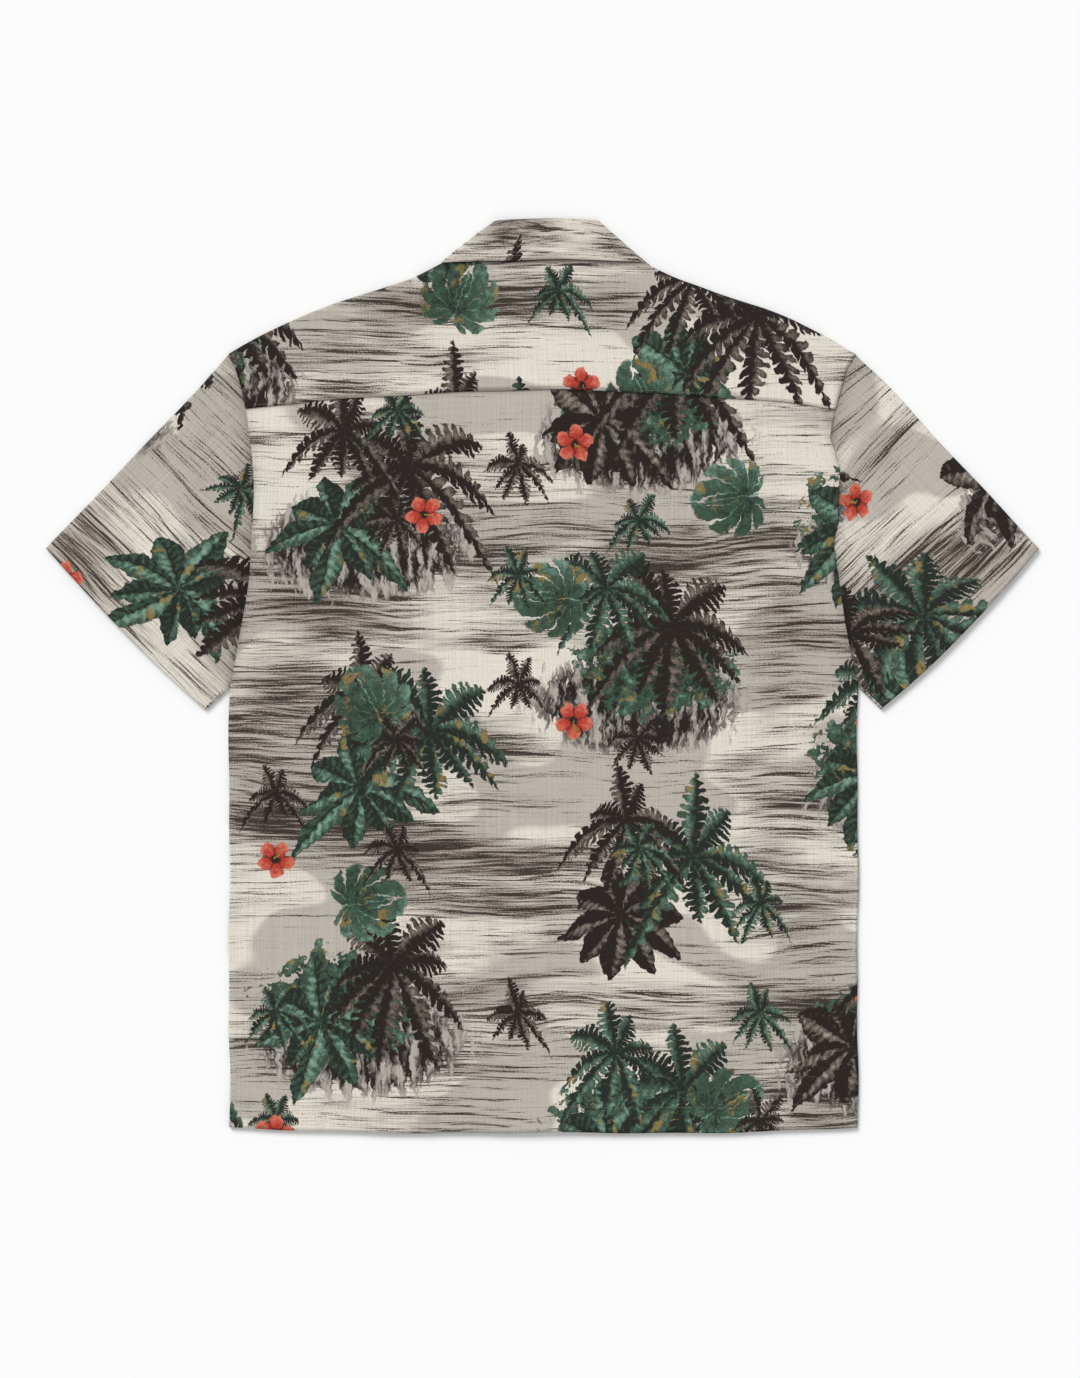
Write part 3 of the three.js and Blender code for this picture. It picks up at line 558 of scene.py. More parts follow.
def make_front(is_right):
    if is_right:
        cloth = Cloth("front_right_cloth", (1230, 40))
    else:
        cloth = Cloth("front_left_cloth", (1850, 310), turned_over=True)

    def level(x, y):
        return front_level(x, y) + (overlap_lift(-x, y) if is_right else 0)

    placket = [Vector((OVERLAP, y)) for y in steps(HEM_Y, 236, 150)]
    corner = [placket[-1].lerp(BREAK, t) for t in (0.34, 0.67)]
    roll = [BREAK.lerp(COLLAR_END, t) for t in steps(0, 1, 22)]
    neck = [front_seam(t) for t in (STAND_END, *NECK_SHARES)]
    inner = placket + corner + roll + neck
    past_from = len(placket)
    arm_row = next(i for i, p in enumerate(inner) if p.y >= 10)
    rows, prints = [], []
    for i, p in enumerate(inner):
        past = max(0, i - past_from + 1) / (len(inner) - past_from)
        share = (i - arm_row) / (len(inner) - 1 - arm_row)
        if share > 0:
            edge_y = lerp(UNDERARM_Y + 14, YOKE_FRONT_ARM_Y, share)
        else:
            edge_y = read_table(SIDE_ROWS, p.y)
        rim = side_edge(edge_y, level, -1)
        outer = rim[0][0].to_2d()
        way = unit(outer - p)
        along = unit(Vector((-1, 0)).lerp(way, clamp01(past * 1.6)))
        near = [p + along * d for d in steps(0, 43, 20)]
        far = [near[-1].lerp(outer, t) for t in steps(0, 1, 44)[1:-1]]
        flat = near + far
        row = [Vector((q.x, q.y + hem_lift(q.x, q.y), level(q.x, q.y))) for q in flat]
        rows.append(row + [r for r, _ in rim])
        prints.append([q.copy() for q in flat] + [s for _, s in rim])
    cloth.grid(flipped(rows) if is_right else rows, prints)
    # The lapel turns out at the roll line and lies under the front.
    start = BREAK + Vector((-LAPEL_START, 0))
    outline = resampled([start, LAPEL_TIP, NOTCH], [18, 4])
    roll_out = left_of(GORGE, BREAK)
    rows, prints = [], []
    for p, edge in zip(roll, outline):
        top = level(p.x, p.y)
        row = [round_fold(p, roll_out, top, FLOOR, turn) for turn in steps(0, math.pi, 10)]
        spots = [p + roll_out * ((top - FLOOR) / 2 * turn) for turn in steps(0, math.pi, 10)]
        for t in steps(0, 1, 16)[1:]:
            q = p.lerp(edge, t)
            row.append(at(q, FLOOR))
            mirrored = roll_out * (2 * (q - p).dot(roll_out))
            spots.append(p + roll_out * ((top - FLOOR) * QUARTER_TURN) + (q - p) - mirrored)
        rows.append(row)
        prints.append(spots)
    cloth.grid(flipped(rows) if is_right else rows, prints)
    return cloth.finish(up=-1)


CUFF_OUT = -left_of(CUFF_TOP, CUFF_BOTTOM)
SLEEVE_DEPTH = (CUFF_TOP - SHOULDER_END).length
CUFF_LENGTH = (CUFF_TOP - CUFF_BOTTOM).length


def cuff_point(share):
    return CUFF_BOTTOM.lerp(CUFF_TOP, share) + CUFF_OUT * (CUFF_BOW * 4 * share * (1 - share))


def sleeve_point(is_right, p, share, r):
    """A place on the sleeve's upper layer, and how far the body's edge holds it down. share runs
    up the armhole, where p is, and r runs from there to the cuff."""
    held = smooth(0, 0.1, share) * smooth(1, 0.9, share)
    q = p.lerp(cuff_point(share), r) + Vector((ARM_LAP * held * (1 - smooth(0, 0.05, r)), 0))
    still = smooth(0, 0.14, share) * smooth(1, 0.86, share) * smooth(0, 0.1, r)
    level = lerp(SLEEVE_SEAM_LEVEL, EDGE_LEVEL, smooth(0, 0.25, r))
    level -= ARM_SINK * held * (1 - smooth(0.012, 0.075, r))
    level += SLEEVE_CROWN * math.sin(math.pi * share) * smooth(0, 0.3, r)
    spot = (SLEEVE_DEPTH * r, CUFF_LENGTH * (1 - share) * lerp(1.45, 1, r))
    folds = folds_at(RIGHT_SLEEVE_FOLDS if is_right else LEFT_SLEEVE_FOLDS, *spot)
    folds += folds_at(SLEEVE_CREASES, *spot) * (-0.9 if is_right else 1)
    return at(q, level + folds * still), held


def make_sleeve(is_right):
    ys = steps(UNDERARM_Y + 8, SHOULDER_END.y - 3, 56)
    start = [UNDERARM] + [Vector((-armhole_x(y), y)) for y in ys] + [SHOULDER_END]
    tip = start[-1]
    shares = [(p.y - start[0].y) / (tip.y - start[0].y) for p in start]
    under_out = left_of(UNDERARM, CUFF_BOTTOM)
    rs = [0, 0.012, 0.024, 0.037, 0.05, 0.07] + steps(0.09, 1, 56)
    down = unit((CUFF_TOP + CUFF_BOTTOM) / 2 - (tip + UNDERARM) / 2)
    across_way = unit(CUFF_BOTTOM - CUFF_TOP)
    rows, prints = [], []
    for r in rs:
        plan, upper, lower = [], [], []
        for p, share in zip(start, shares):
            top, held = sleeve_point(is_right, p, share, r)
            plan.append(top.to_2d())
            upper.append(top)
            lower.append(at(top.to_2d(), FLOOR + 1.1 * held * (1 - smooth(0.012, 0.055, r))))
        top_out = unit(TIP_OUT.lerp(SLEEVE_OUT, smooth(0, 0.12, r)))
        turns = steps(0, math.pi, 10)[1:-1]
        top_fold = [round_fold(plan[-1], top_out, upper[-1].z, FLOOR, turn) for turn in turns]
        under_fold = [
            round_fold(plan[0], under_out, upper[0].z, FLOOR, math.pi - turn) for turn in turns
        ]
        row = upper + top_fold + lower[::-1] + under_fold + [upper[0].copy()]
        spots = [Vector(((p - tip).dot(across_way), (p - tip).dot(down))) for p in plan]
        turned = [spots[-1] + Vector((-1.6 * turn, 0)) for turn in turns]
        mirror = 2 * spots[-1].x - 10
        below = [Vector((mirror - s.x, s.y)) for s in spots[::-1]]
        under = [below[-1] + Vector((-1.6 * (math.pi - turn), 0)) for turn in turns]
        rows.append(row)
        prints.append(spots + turned + below + under + [below[-1] + Vector((-5, 0))])
    prints = [[Vector((-s.x, -s.y)) for s in line] for line in prints]
    if is_right:
        cloth, rows = Cloth("sleeve_right_cloth", (250, -1450)), flipped(rows)
    else:
        cloth = Cloth("sleeve_left_cloth", (-530, -880), turned_over=True)
    return cloth.grid(rows, prints).finish(up=1, low=3)


# Across the collar: up the stand, round the roll line and down the leaf.
COLLAR_COLUMNS = (
    [("stand", s) for s in steps(0, 1, 10)[:-1]]
    + [("roll", turn) for turn in steps(0, math.pi, 12)]
    + [("leaf", s) for s in steps(0, 1, 14)[1:]]
)
# The leaf's edge and the roll line at each end of the fold, -1 left and 1 right as seen.
LEAF_BACK = {-1: Vector((-86.8, 357.6)), 1: Vector((-83.8, 358.6))}
LEAF_FRONT = {-1: LEAF_SIDE, 1: Vector((-94.0, 351.6))}
ROLL_SIDE = {-1: ROLL_CORNER + Vector((1.9, 0)), 1: ROLL_CORNER - Vector((3.1, 0))}


def radius_of(part, value):
    if part == "roll":
        return STAND_FOLD + LAYER / 2 * (1 - math.cos(value))
    return STAND_FOLD if part == "stand" else STAND_FOLD + LAYER


def across_collar(column, seam, roll, edge, way):
    part, value = column
    if part == "stand":
        return seam.lerp(roll, value)
    if part == "leaf":
        return roll.lerp(edge, value)
    return roll + way * (LAYER / 2 * math.sin(value))


def leaf_lift(part, value, u):
    """The leaf's edge stands a little off the yoke."""
    return LEAF_LIFT * smooth(0.5, 1, value) * (1 - u**6) if part == "leaf" else 0


def collar_edge(u):
    left, right = LEAF_BACK[-1], LEAF_BACK[1]
    x = u * -(left if u < 0 else right).x
    return Vector((x, lerp(left.y, right.y, (u + 1) / 2) + LEAF_EDGE_RISE * (1 - u * u)))


def collar_back_point(u, column):
    seam = Vector((u * -NECK_SIDE.x, back_seam_y(u * -NECK_SIDE.x)))
    roll_x = u * -ROLL_SIDE[-1 if u < 0 else 1].x
    roll = Vector((roll_x, ROLL_CORNER.y + ROLL_RISE * (1 - u**4)))
    p = across_collar(column, seam, roll, collar_edge(u), Vector((0, 1)))
    return at(p, NECK_HEIGHT + radius_of(*column) + leaf_lift(*column, u))


def make_collar():
    side_way = -unit(NECK_SIDE.lerp(LEAF_SIDE, 0.5) - ROLL_CORNER)
    front_way = -left_of(GORGE, ROLL_CORNER)
    notch_lift = NOTCH - COLLAR_END.lerp(LEAF_POINT, 0.4)

    def out_of(column):
        part, value = column
        corner = Vector((-0.55, 0.05))
        if part == "leaf":
            return corner.lerp(LEAF_OUT * 0.6, smooth(0, 0.3, value))
        if part == "roll":
            return corner
        stand = unit(NECK_OUT.lerp(COLLAR_OUT, smooth(0, 0.5, value)))
        return stand.lerp(corner, smooth(0.7, 1, value))

    def spots(u):
        last = len(COLLAR_COLUMNS) - 1
        return [Vector((u, 62 - k * 72 / last)) for k in range(last + 1)]

    def half(side):
        rows, prints = [], []
        for w in steps(1, 0, 26)[:-1]:
            row = []
            for column in COLLAR_COLUMNS:
                way = unit(side_way.lerp(front_way, smooth(0, 0.2, w)))
                roll = ROLL_SIDE[side].lerp(COLLAR_END, w)
                edge = LEAF_FRONT[side].lerp(LEAF_POINT, w)
                p = across_collar(column, front_seam(w * STAND_END), roll, edge, way)
                if column[0] == "leaf":
                    p = p + notch_lift * (read_table([(0, 0), (0.4, 1), (1, 0)], column[1]) * w**3)
                row.append(at(p, NECK_HEIGHT - radius_of(*column)))
            rows.append(row)
            prints.append(spots(side * (100 + 80 * w)))
        for turn in steps(math.pi, 0, 14):
            row = []
            edge = LEAF_BACK[side].lerp(LEAF_FRONT[side], smooth(0.1, 1.6, turn))
            for column in COLLAR_COLUMNS:
                radius = radius_of(*column)
                line = across_collar(column, NECK_SIDE, ROLL_SIDE[side], edge, side_way)
                top, bottom = NECK_HEIGHT + radius, NECK_HEIGHT - radius
                row.append(round_fold(line, out_of(column), top, bottom, turn))
            rows.append(row)
            prints.append(spots(side * lerp(92, 100, turn / math.pi)))
        return rows, prints

    rows, prints = half(-1)
    for u in steps(-1, 1, 60)[1:-1]:
        rows.append([collar_back_point(u, column) for column in COLLAR_COLUMNS])
        prints.append(spots(92 * u))
    right, right_prints = half(1)
    rows += [[Vector((-p.x, p.y, p.z)) for p in row] for row in right[::-1]]
    prints += right_prints[::-1]
    return Cloth("collar_cloth", (-130, 30)).grid(rows, prints).finish(up=1, low=5)


def placed(name, data):
    made = bpy.data.objects.new(name, data)
    bpy.context.scene.collection.objects.link(made)
    return made


def mesh_object(name, bm):
    mesh = bpy.data.meshes.new(name)
    bm.to_mesh(mesh)
    bm.free()
    return placed(name, mesh)


THREAD = 0.14  # radius
STITCH = 2.5
STITCH_GAP = 0.7


def rod(bm, a, b, radius, sides=5, slot=0):
    way = b - a
    turn = way.to_track_quat("Z", "Y").to_matrix().to_4x4()
    place = Matrix.Translation((a + b) / 2 * MM) @ turn
    sizes = {"radius1": radius * MM, "radius2": radius * MM, "depth": way.length * MM}
    made = bmesh.ops.create_cone(bm, cap_ends=True, segments=sides, matrix=place, **sizes)
    for f in {f for v in made["verts"] for f in v.link_faces}:
        f.material_index = slot


def make_stitches(name, lines):
    """Rows of machine stitches along lines that lie on the cloth."""
    bm = bmesh.new()
    for line in lines:
        line = [wander(p) for p in line]
        length = sum((b - a).length for a, b in zip(line, line[1:]))
        count = max(1, round(length / (STITCH + STITCH_GAP)))
        marks = spread(line, count * 4)
        for i in range(count):
            start, end = marks[4 * i], marks[4 * i + 4]
            rod(bm, start, start.lerp(end, STITCH / (STITCH + STITCH_GAP)), THREAD)
    return mesh_object(name, bm)


def on_back(x, y):
    return Vector((x, y + hem_lift(x, y), back_level(x, y) + THICK / 2))


def on_front(x, y):
    return Vector((x, y + hem_lift(x, y), front_level(x, y) - THICK / 2))


HEM_STITCH = 22
CUFF_STITCH = 25
EDGE_STITCH = 4.5
YOKE_STITCH = 2.2


def sleeve_stitches(is_right):
    r = 1 - CUFF_STITCH / SLEEVE_DEPTH
    upper, lower = [], []
    for share in steps(0.02, 0.98, 40):
        p = UNDERARM.lerp(SHOULDER_END, share)
        top, _ = sleeve_point(is_right, p, share, r)
        upper.append(top + Vector((0, 0, THICK / 2)))
        lower.append(at(top.to_2d(), FLOOR - THICK / 2))
    name = "sleeve_right_stitches" if is_right else "sleeve_left_stitches"
    lines = [upper, lower]
    return make_stitches(name, flipped(lines) if is_right else lines)


def inset(points, reach):
    """A line moved to its left by this much, kept clear of its ends."""
    out = []
    for a, b in zip(points, points[1:]):
        way = unit(b - a)
        side = left_of(a, b) * reach
        out.append((a + way * reach + side, b - way * reach + side))
    return out


def collar_stitches():
    column = ("leaf", 1 - EDGE_STITCH / 38)
    up = Vector((0, 0, THICK / 2))
    back = [collar_back_point(u, column) + up for u in steps(-0.94, 0.94, 50)]
    under = NECK_HEIGHT - STAND_FOLD - LAYER - THICK / 2
    lines = []
    for side in (-1, 1):
        for a, b in inset([LEAF_FRONT[side], LEAF_POINT, NOTCH], EDGE_STITCH):
            lines.append([at(a.lerp(b, t), under) for t in steps(0, 1, 12)])
    half = len(lines) // 2
    return make_stitches("collar_stitches", [back] + lines[:half] + flipped(lines[half:]))


def front_stitches(is_right):
    hem = [on_front(-x, HEM_Y + HEM_STITCH) for x in steps(22 if is_right else -14, 268, 60)]
    lines = [hem]
    start = BREAK + Vector((-LAPEL_START, 0))
    for a, b in inset([start, LAPEL_TIP][::-1], EDGE_STITCH):
        lines.append([at(a.lerp(b, t), FLOOR - THICK / 2) for t in steps(0, 1, 16)])
    if is_right:
        return make_stitches("front_right_stitches", flipped(lines))
    lines.append([on_front(OVERLAP - 3, y) for y in steps(HEM_Y + 2, 234, 200)])
    for y in BUTTON_YS:
        level = front_level(0, y) - THICK / 2
        ring = [(-1.2, -7.5), (-1.2, 7.5), (1.2, 7.5), (1.2, -7.5), (-1.2, -7.5)]
        lines.append([Vector((x, y + dy, level)) for x, dy in ring])
    return make_stitches("front_left_stitches", lines)


# From the middle of the side that is seen, over the rim, to the middle of the other side.
BUTTON_PROFILE = [(0, 0.75), (2.6, 0.75), (3.1, 0.55), (3.6, 0.2), (4.3, 0.05), (5.0, 0.1)]
BUTTON_PROFILE += [(5.5, 0.5), (5.75, 1.1), (5.6, 1.8), (5.1, 2.3), (4.4, 2.4), (0, 2.4)]
HOLE_OFFSET = 1.13
HOLE_RADIUS = 0.62


def put_in_order(bm):
    """Sorts the parts by place, because spin leaves them in another order on each run."""
    keys = (
        (bm.verts, lambda v: tuple(v.co)),
        (bm.edges, lambda e: sorted(v.index for v in e.verts)),
        (bm.faces, lambda f: sorted(v.index for v in f.verts)),
    )
    for parts, key in keys:
        rank = {part: i for i, part in enumerate(sorted(parts, key=key))}
        parts.sort(key=rank.get)
        parts.index_update()


def make_button(y, name):
    """A round button with a raised rim and four holes shown as dark plugs of painted shadow, turned
    from its profile, with its thread.
    """
    bm = bmesh.new()
    line = [bm.verts.new((r * MM, 0, z * MM)) for r, z in BUTTON_PROFILE]
    edges = [bm.edges.new(pair) for pair in zip(line, line[1:])]
    axis = {"cent": (0, 0, 0), "axis": (0, 0, 1), "dvec": (0, 0, 0)}
    bmesh.ops.spin(bm, geom=line + edges, angle=TAU, steps=40, use_merge=True, **axis)
    bmesh.ops.remove_doubles(bm, verts=bm.verts, dist=1e-6)
    bmesh.ops.recalc_face_normals(bm, faces=bm.faces)
    put_in_order(bm)
    shell = set(bm.faces)
    for x in (-HOLE_OFFSET, HOLE_OFFSET):
        for side in (-HOLE_OFFSET, HOLE_OFFSET):
            # Each hole is a dark plug of painted shadow, not an opening.
            rod(bm, Vector((x, side, 0.71)), Vector((x, side, 1.1)), HOLE_RADIUS, 16, slot=1)
        for shift in (-0.22, 0.22):
            start = Vector((x + shift, -HOLE_OFFSET - 0.1, 0.62))
            end = Vector((x + shift, HOLE_OFFSET + 0.1, 0.62))
            rod(bm, start, end, 0.2, 6, slot=2)
    bmesh.ops.translate(bm, verts=bm.verts, vec=(0, y * MM, 0))
    for f in bm.faces:
        f.smooth = f in shell
    return mesh_object(name, bm)


# Shader nodes.
class Wire:
    """One output of a shader node. Arithmetic on it adds Math nodes after it."""

    def __init__(self, tree, socket):
        self.tree = tree
        self.socket = socket

    def node(self, kind, inputs, output=0, **settings):
        made = self.tree.nodes.new(kind)
        for name, value in settings.items():
            setattr(made, name, value)
        for key, value in inputs.items():
            if isinstance(value, Wire):
                self.tree.links.new(value.socket, made.inputs[key])
            else:
                made.inputs[key].default_value = value
        return Wire(self.tree, made.outputs[output])

    def maths(self, operation, *others):
        return self.node("ShaderNodeMath", dict(enumerate((self, *others))), operation=operation)

    def __add__(self, other):
        return self.maths("ADD", other)

    def __mul__(self, other):
        return self.maths("MULTIPLY", other)

    def __sub__(self, other):
        return self.maths("SUBTRACT", other)

    def __truediv__(self, other):
        return self.maths("DIVIDE", other)

    def __rsub__(self, other):
        return self.node("ShaderNodeMath", {0: other, 1: self}, operation="SUBTRACT")

    __radd__ = __add__
    __rmul__ = __mul__

    def floor(self):
        return self.maths("FLOOR")

    def fract(self):
        return self.maths("FRACT")

    def size(self):
        return self.maths("ABSOLUTE")

    def step(self, low, high):
        """From 0 at the first value to 1 at the second, with soft ends."""
        inputs = {0: self, 1: low, 2: high, 3: 0.0, 4: 1.0}
        return self.node("ShaderNodeMapRange", inputs, interpolation_type="SMOOTHSTEP")

    def tooth(self):
        """A zigzag that is 0 in the middle of each unit and 1 at its ends."""
        return (self.fract() - 0.5).size() * 2

    def mix(self, colour, other):
        """From one colour to the other by this value."""
        return self.node("ShaderNodeMix", {0: self, 6: colour, 7: other}, 2, data_type="RGBA")

    def towards(self, colour, share):
        """This colour, a fixed share of the way to another."""
        return self.node("ShaderNodeMix", {0: share, 6: self, 7: colour}, 2, data_type="RGBA")

    def below(self, limit):
        """1 where this is under the limit, and 0 elsewhere."""
        return (limit - self).step(0, 0.01)

    def above(self, limit):
        return (self - limit).step(0, 0.01)

    def feed(self, surface, name):
        self.tree.links.new(self.socket, surface.inputs[name])

    def moved(self, operation, *others):
        inputs = {0: self}
        for key, other in enumerate(others):
            inputs[3 if operation == "SCALE" else key + 1] = other
        return self.node("ShaderNodeVectorMath", inputs, operation=operation)

    def times(self, x, y):
        return self.moved("MULTIPLY", (x, y, 1))

    def plus(self, other):
        return self.moved("ADD", other)

    def length(self):
        return self.node("ShaderNodeVectorMath", {0: self}, output=1, operation="LENGTH")

    def parts(self):
        made = self.node("ShaderNodeSeparateXYZ", {0: self})
        outputs = made.socket.node.outputs
        return [Wire(self.tree, outputs[k]) for k in range(3)]

    def point(self, x, y):
        return self.node("ShaderNodeCombineXYZ", {0: x, 1: y})

    def noise(self, scale, detail=2.0, rough=0.5):
        inputs = {"Vector": self, "Scale": scale, "Detail": detail, "Roughness": rough}
        return self.node("ShaderNodeTexNoise", inputs, noise_dimensions="2D")

    def drift(self, scale, reach, detail=1.0):
        """The place, moved about by up to this much."""
        inputs = {"Vector": self, "Scale": scale, "Detail": detail}
        colour = self.node("ShaderNodeTexNoise", inputs, output=1, noise_dimensions="2D")
        return self.plus(colour.moved("SUBTRACT", (0.5, 0.5, 0.5)).moved("SCALE", 2 * reach))

    def chance(self):
        return self.node("ShaderNodeTexWhiteNoise", {"W": self}, noise_dimensions="1D")


CREAM = (0.690, 0.640, 0.560, 1)
MIST = (0.410, 0.372, 0.330, 1)
TAUPE = (0.175, 0.143, 0.118, 1)
SEPIA = (0.017, 0.012, 0.009, 1)
BROWN_INK = (0.032, 0.021, 0.016, 1)
NIGHT_GREEN = (0.014, 0.019, 0.014, 1)
LEAF_GREEN = (0.040, 0.076, 0.050, 1)
TEAL = (0.195, 0.325, 0.250, 1)
MUSTARD = (0.270, 0.170, 0.045, 1)
RED = (0.420, 0.040, 0.025, 1)
CORAL = (0.600, 0.170, 0.110, 1)
PAPER = (0.94, 0.94, 0.94, 1)

# The cloth's own grain, in millimetres.
YARN = 1.7
RIB_RUN = 90
THREAD_RUN = 60
SLUB = 1.1
CORD_ACROSS = 2.8
CORD_ALONG = 3.1
REVERSE_FADE = 0.55


def cell_of(place, wide, tall, shift, seed):
    """A lattice whose every other column drops by half: the place in its cell and three chances."""
    x, y, _ = place.times(1 / wide, 1 / tall).plus((*shift, 0)).parts()
    column = x.floor()
    y = y + (column * 0.5).fract()
    row = y.floor()
    inputs = {"Vector": place.point(column + seed, row)}
    chances = place.node("ShaderNodeTexWhiteNoise", inputs, output=1, noise_dimensions="2D")
    inside = place.point((x - column - 0.5) * wide, (y - row - 0.5) * tall)
    return inside, chances.parts()


def turned(place, angle):
    inputs = {"Vector": place, "Angle": angle}
    return place.node("ShaderNodeVectorRotate", inputs, rotation_type="Z_AXIS")


def rosette(place, count, reach, droop, seed):
    """Leaves round a middle: how far along and across its leaf a place is, and its chance."""
    x, y, _ = place.parts()
    y = y + x * x * droop
    far = place.point(x, y).length()
    turn = y.maths("ARCTAN2", x) * (count / TAU)
    leaf = turn.floor()
    chance = (leaf + seed).chance()
    off = (turn - leaf - 0.5) * (TAU / count) + (chance - 0.5) * 0.35
    along = far / (chance * (0.45 * reach) + 0.6 * reach)
    return along, far * off, chance


def palm_spray(place, count, reach, seed):
    """Arching fronds whose leaflets part towards their tips; lit on one side of the rib."""
    along, across, chance = rosette(place, count, reach, 0.9 / reach, seed)
    width = along.maths("POWER", 0.6) * (1 - along).maths("MAXIMUM", 0.0) * (0.62 * reach)
    share = across.size() / (width + 0.002)
    leaflet = (along * 10.0 - across.size() * (5.0 / reach)).tooth()
    inside = (1.3 - share * 0.8 - leaflet).step(0, 0.25) * (1 - share).step(0, 0.12)
    lit = (across * (14.0 / reach)).step(-0.5, 1.0) * (1 - share * 0.6)
    shade = lit * 0.75 + along * 0.18 - leaflet * 0.2 + chance * 0.12
    return inside * (1 - along).step(0, 0.05), shade


def broad_leaves(place, count, reach, seed):
    along, across, chance = rosette(place, count, reach, 0.5 / reach, seed)
    width = along.maths("POWER", 0.8) * (1 - along).maths("MAXIMUM", 0.0) * (0.78 * reach)
    share = across.size() / (width + 0.002)
    vein = (along * 9.0 - across.size() * (7.0 / reach)).tooth()
    lit = (across * (12.0 / reach)).step(-0.3, 0.9)
    shade = lit * (1 - share) * 0.8 + vein * 0.28 + chance * 0.2 - (0.1 - share).step(0, 0.1) * 0.4
    return (1 - share).step(0, 0.1) * (1 - along).step(0, 0.03), shade


def split_leaf(place, reach):
    """A heart-shaped leaf with deep cuts between its side veins."""
    x, y, _ = place.parts()
    y = y + reach * 0.35
    turn = x.maths("ARCTAN2", y).size()
    far = place.point(x, y).length()
    edge = (1 - turn * 0.19) * (1 - (turn - 2.2).step(0, 1.0) * 0.4) * reach * 1.15
    cut = (turn * 1.9 + far * (1.1 / reach)).tooth()
    share = far / edge
    inside = (1 - share - cut.maths("POWER", 6.0) * 0.55).step(0, 0.05)
    vein = (1 - cut).step(0.0, 0.16) * x.size().step(0.0, 0.03 * reach)
    return inside, 0.1 + share * 0.4 + (1 - vein) * 0.4 + x.step(-reach, reach) * 0.3


def flower(place, reach):
    """Five broad petals with a darker eye and a slim pistil."""
    x, y, _ = place.parts()
    far = place.length() / reach
    petal = (y.maths("ARCTAN2", x) * (5 / TAU)).tooth()
    edge = 1.0 - petal.maths("POWER", 2.2) * 0.42
    inside = (edge - far).step(0, 0.06)
    tone = place.noise(30.0, 2.0)
    colour = (far + tone - 0.5).step(0.35, 1.1).mix(RED, CORAL)
    colour = (petal.step(0.7, 1.0) * 0.8).mix(colour, SEPIA)
    colour = (0.34 - far).step(0, 0.2).mix(colour, SEPIA)
    pistil = (0.07 - (y / reach - x / reach * 0.8).size()).step(0, 0.03)
    pistil = pistil * (x / reach).step(0.0, 0.03)
    return inside, (pistil * (0.72 - far).step(0, 0.04)).mix(colour, MUSTARD)


def foliage_colour(place, shade, dark=None):
    """Leaf colours from black-green to teal, or sepia ones where dark is 1."""
    tone = shade + (place.noise(13.0, 3.0, 0.7) - 0.5) * 0.9
    tone = tone + (place.noise(90.0, 2.0, 0.6) - 0.5) * 0.55
    green = tone.step(0.12, 0.5).mix(NIGHT_GREEN, LEAF_GREEN)
    green = tone.step(0.5, 1.1).mix(green, TEAL)
    gold = place.plus((7.3, 2.1, 0)).noise(6.0, 2.0).step(0.58, 0.7) * tone.step(0.35, 0.6)
    green = (gold * 0.75).mix(green, MUSTARD)
    if dark is None:
        return green
    sepia = tone.step(0.38, 0.95).mix(SEPIA, TAUPE)
    sepia = (tone.step(0.8, 1.15) * 0.7).mix(sepia, MIST)
    return dark.mix(green, sepia)


def painted_ground(place):
    """Cream cloth with soft washes and rows of dry brush strokes."""
    flow = place.times(0.6, 1.0).drift(1.0, 0.13, 1.0).drift(3.4, 0.022, 1.0).plus((1.7, 5.2, 0))
    wave = place.times(1.6, 3.0).drift(1.0, 0.05, 1.0)
    cover = place.plus((3.1, 8.4, 0)).times(0.42, 0.8).noise(1.0, 2.0, 0.55)
    band = flow.times(0.5, 3.2).noise(1.0, 2.0, 0.5)
    streak = flow.times(1.5, 29.0).noise(1.0, 3.0, 0.62)
    hair = wave.times(1.3, 27.0).noise(1.0, 2.0, 0.6)
    grain = place.noise(95.0, 2.0, 0.7)
    load = (cover - 0.5) * 1.9 + (band - 0.5) * 1.1
    flat = place.plus((9.2, 1.4, 0)).times(0.75, 1.2).noise(1.0, 1.0, 0.4)
    colour = (flat.step(0.5, 0.54) * 0.85).mix(CREAM, MIST)
    colour = ((load + 0.12 + (hair - 0.5) * 0.9).step(-0.12, 0.3) * 0.75).mix(colour, MIST)
    soft = load + 0.06 + (streak - 0.5) * 1.5 + (hair - 0.5) * 1.2 + (grain - 0.5) * 1.0
    colour = (soft.step(0.0, 0.45) * 0.85).mix(colour, TAUPE)
    ink = load * 0.9 + (streak - 0.5) * 2.6 + (hair - 0.5) * 1.6 + (grain - 0.5) * 1.2
    return (ink.step(0.23, 0.5) * 0.94).mix(colour, BROWN_INK)


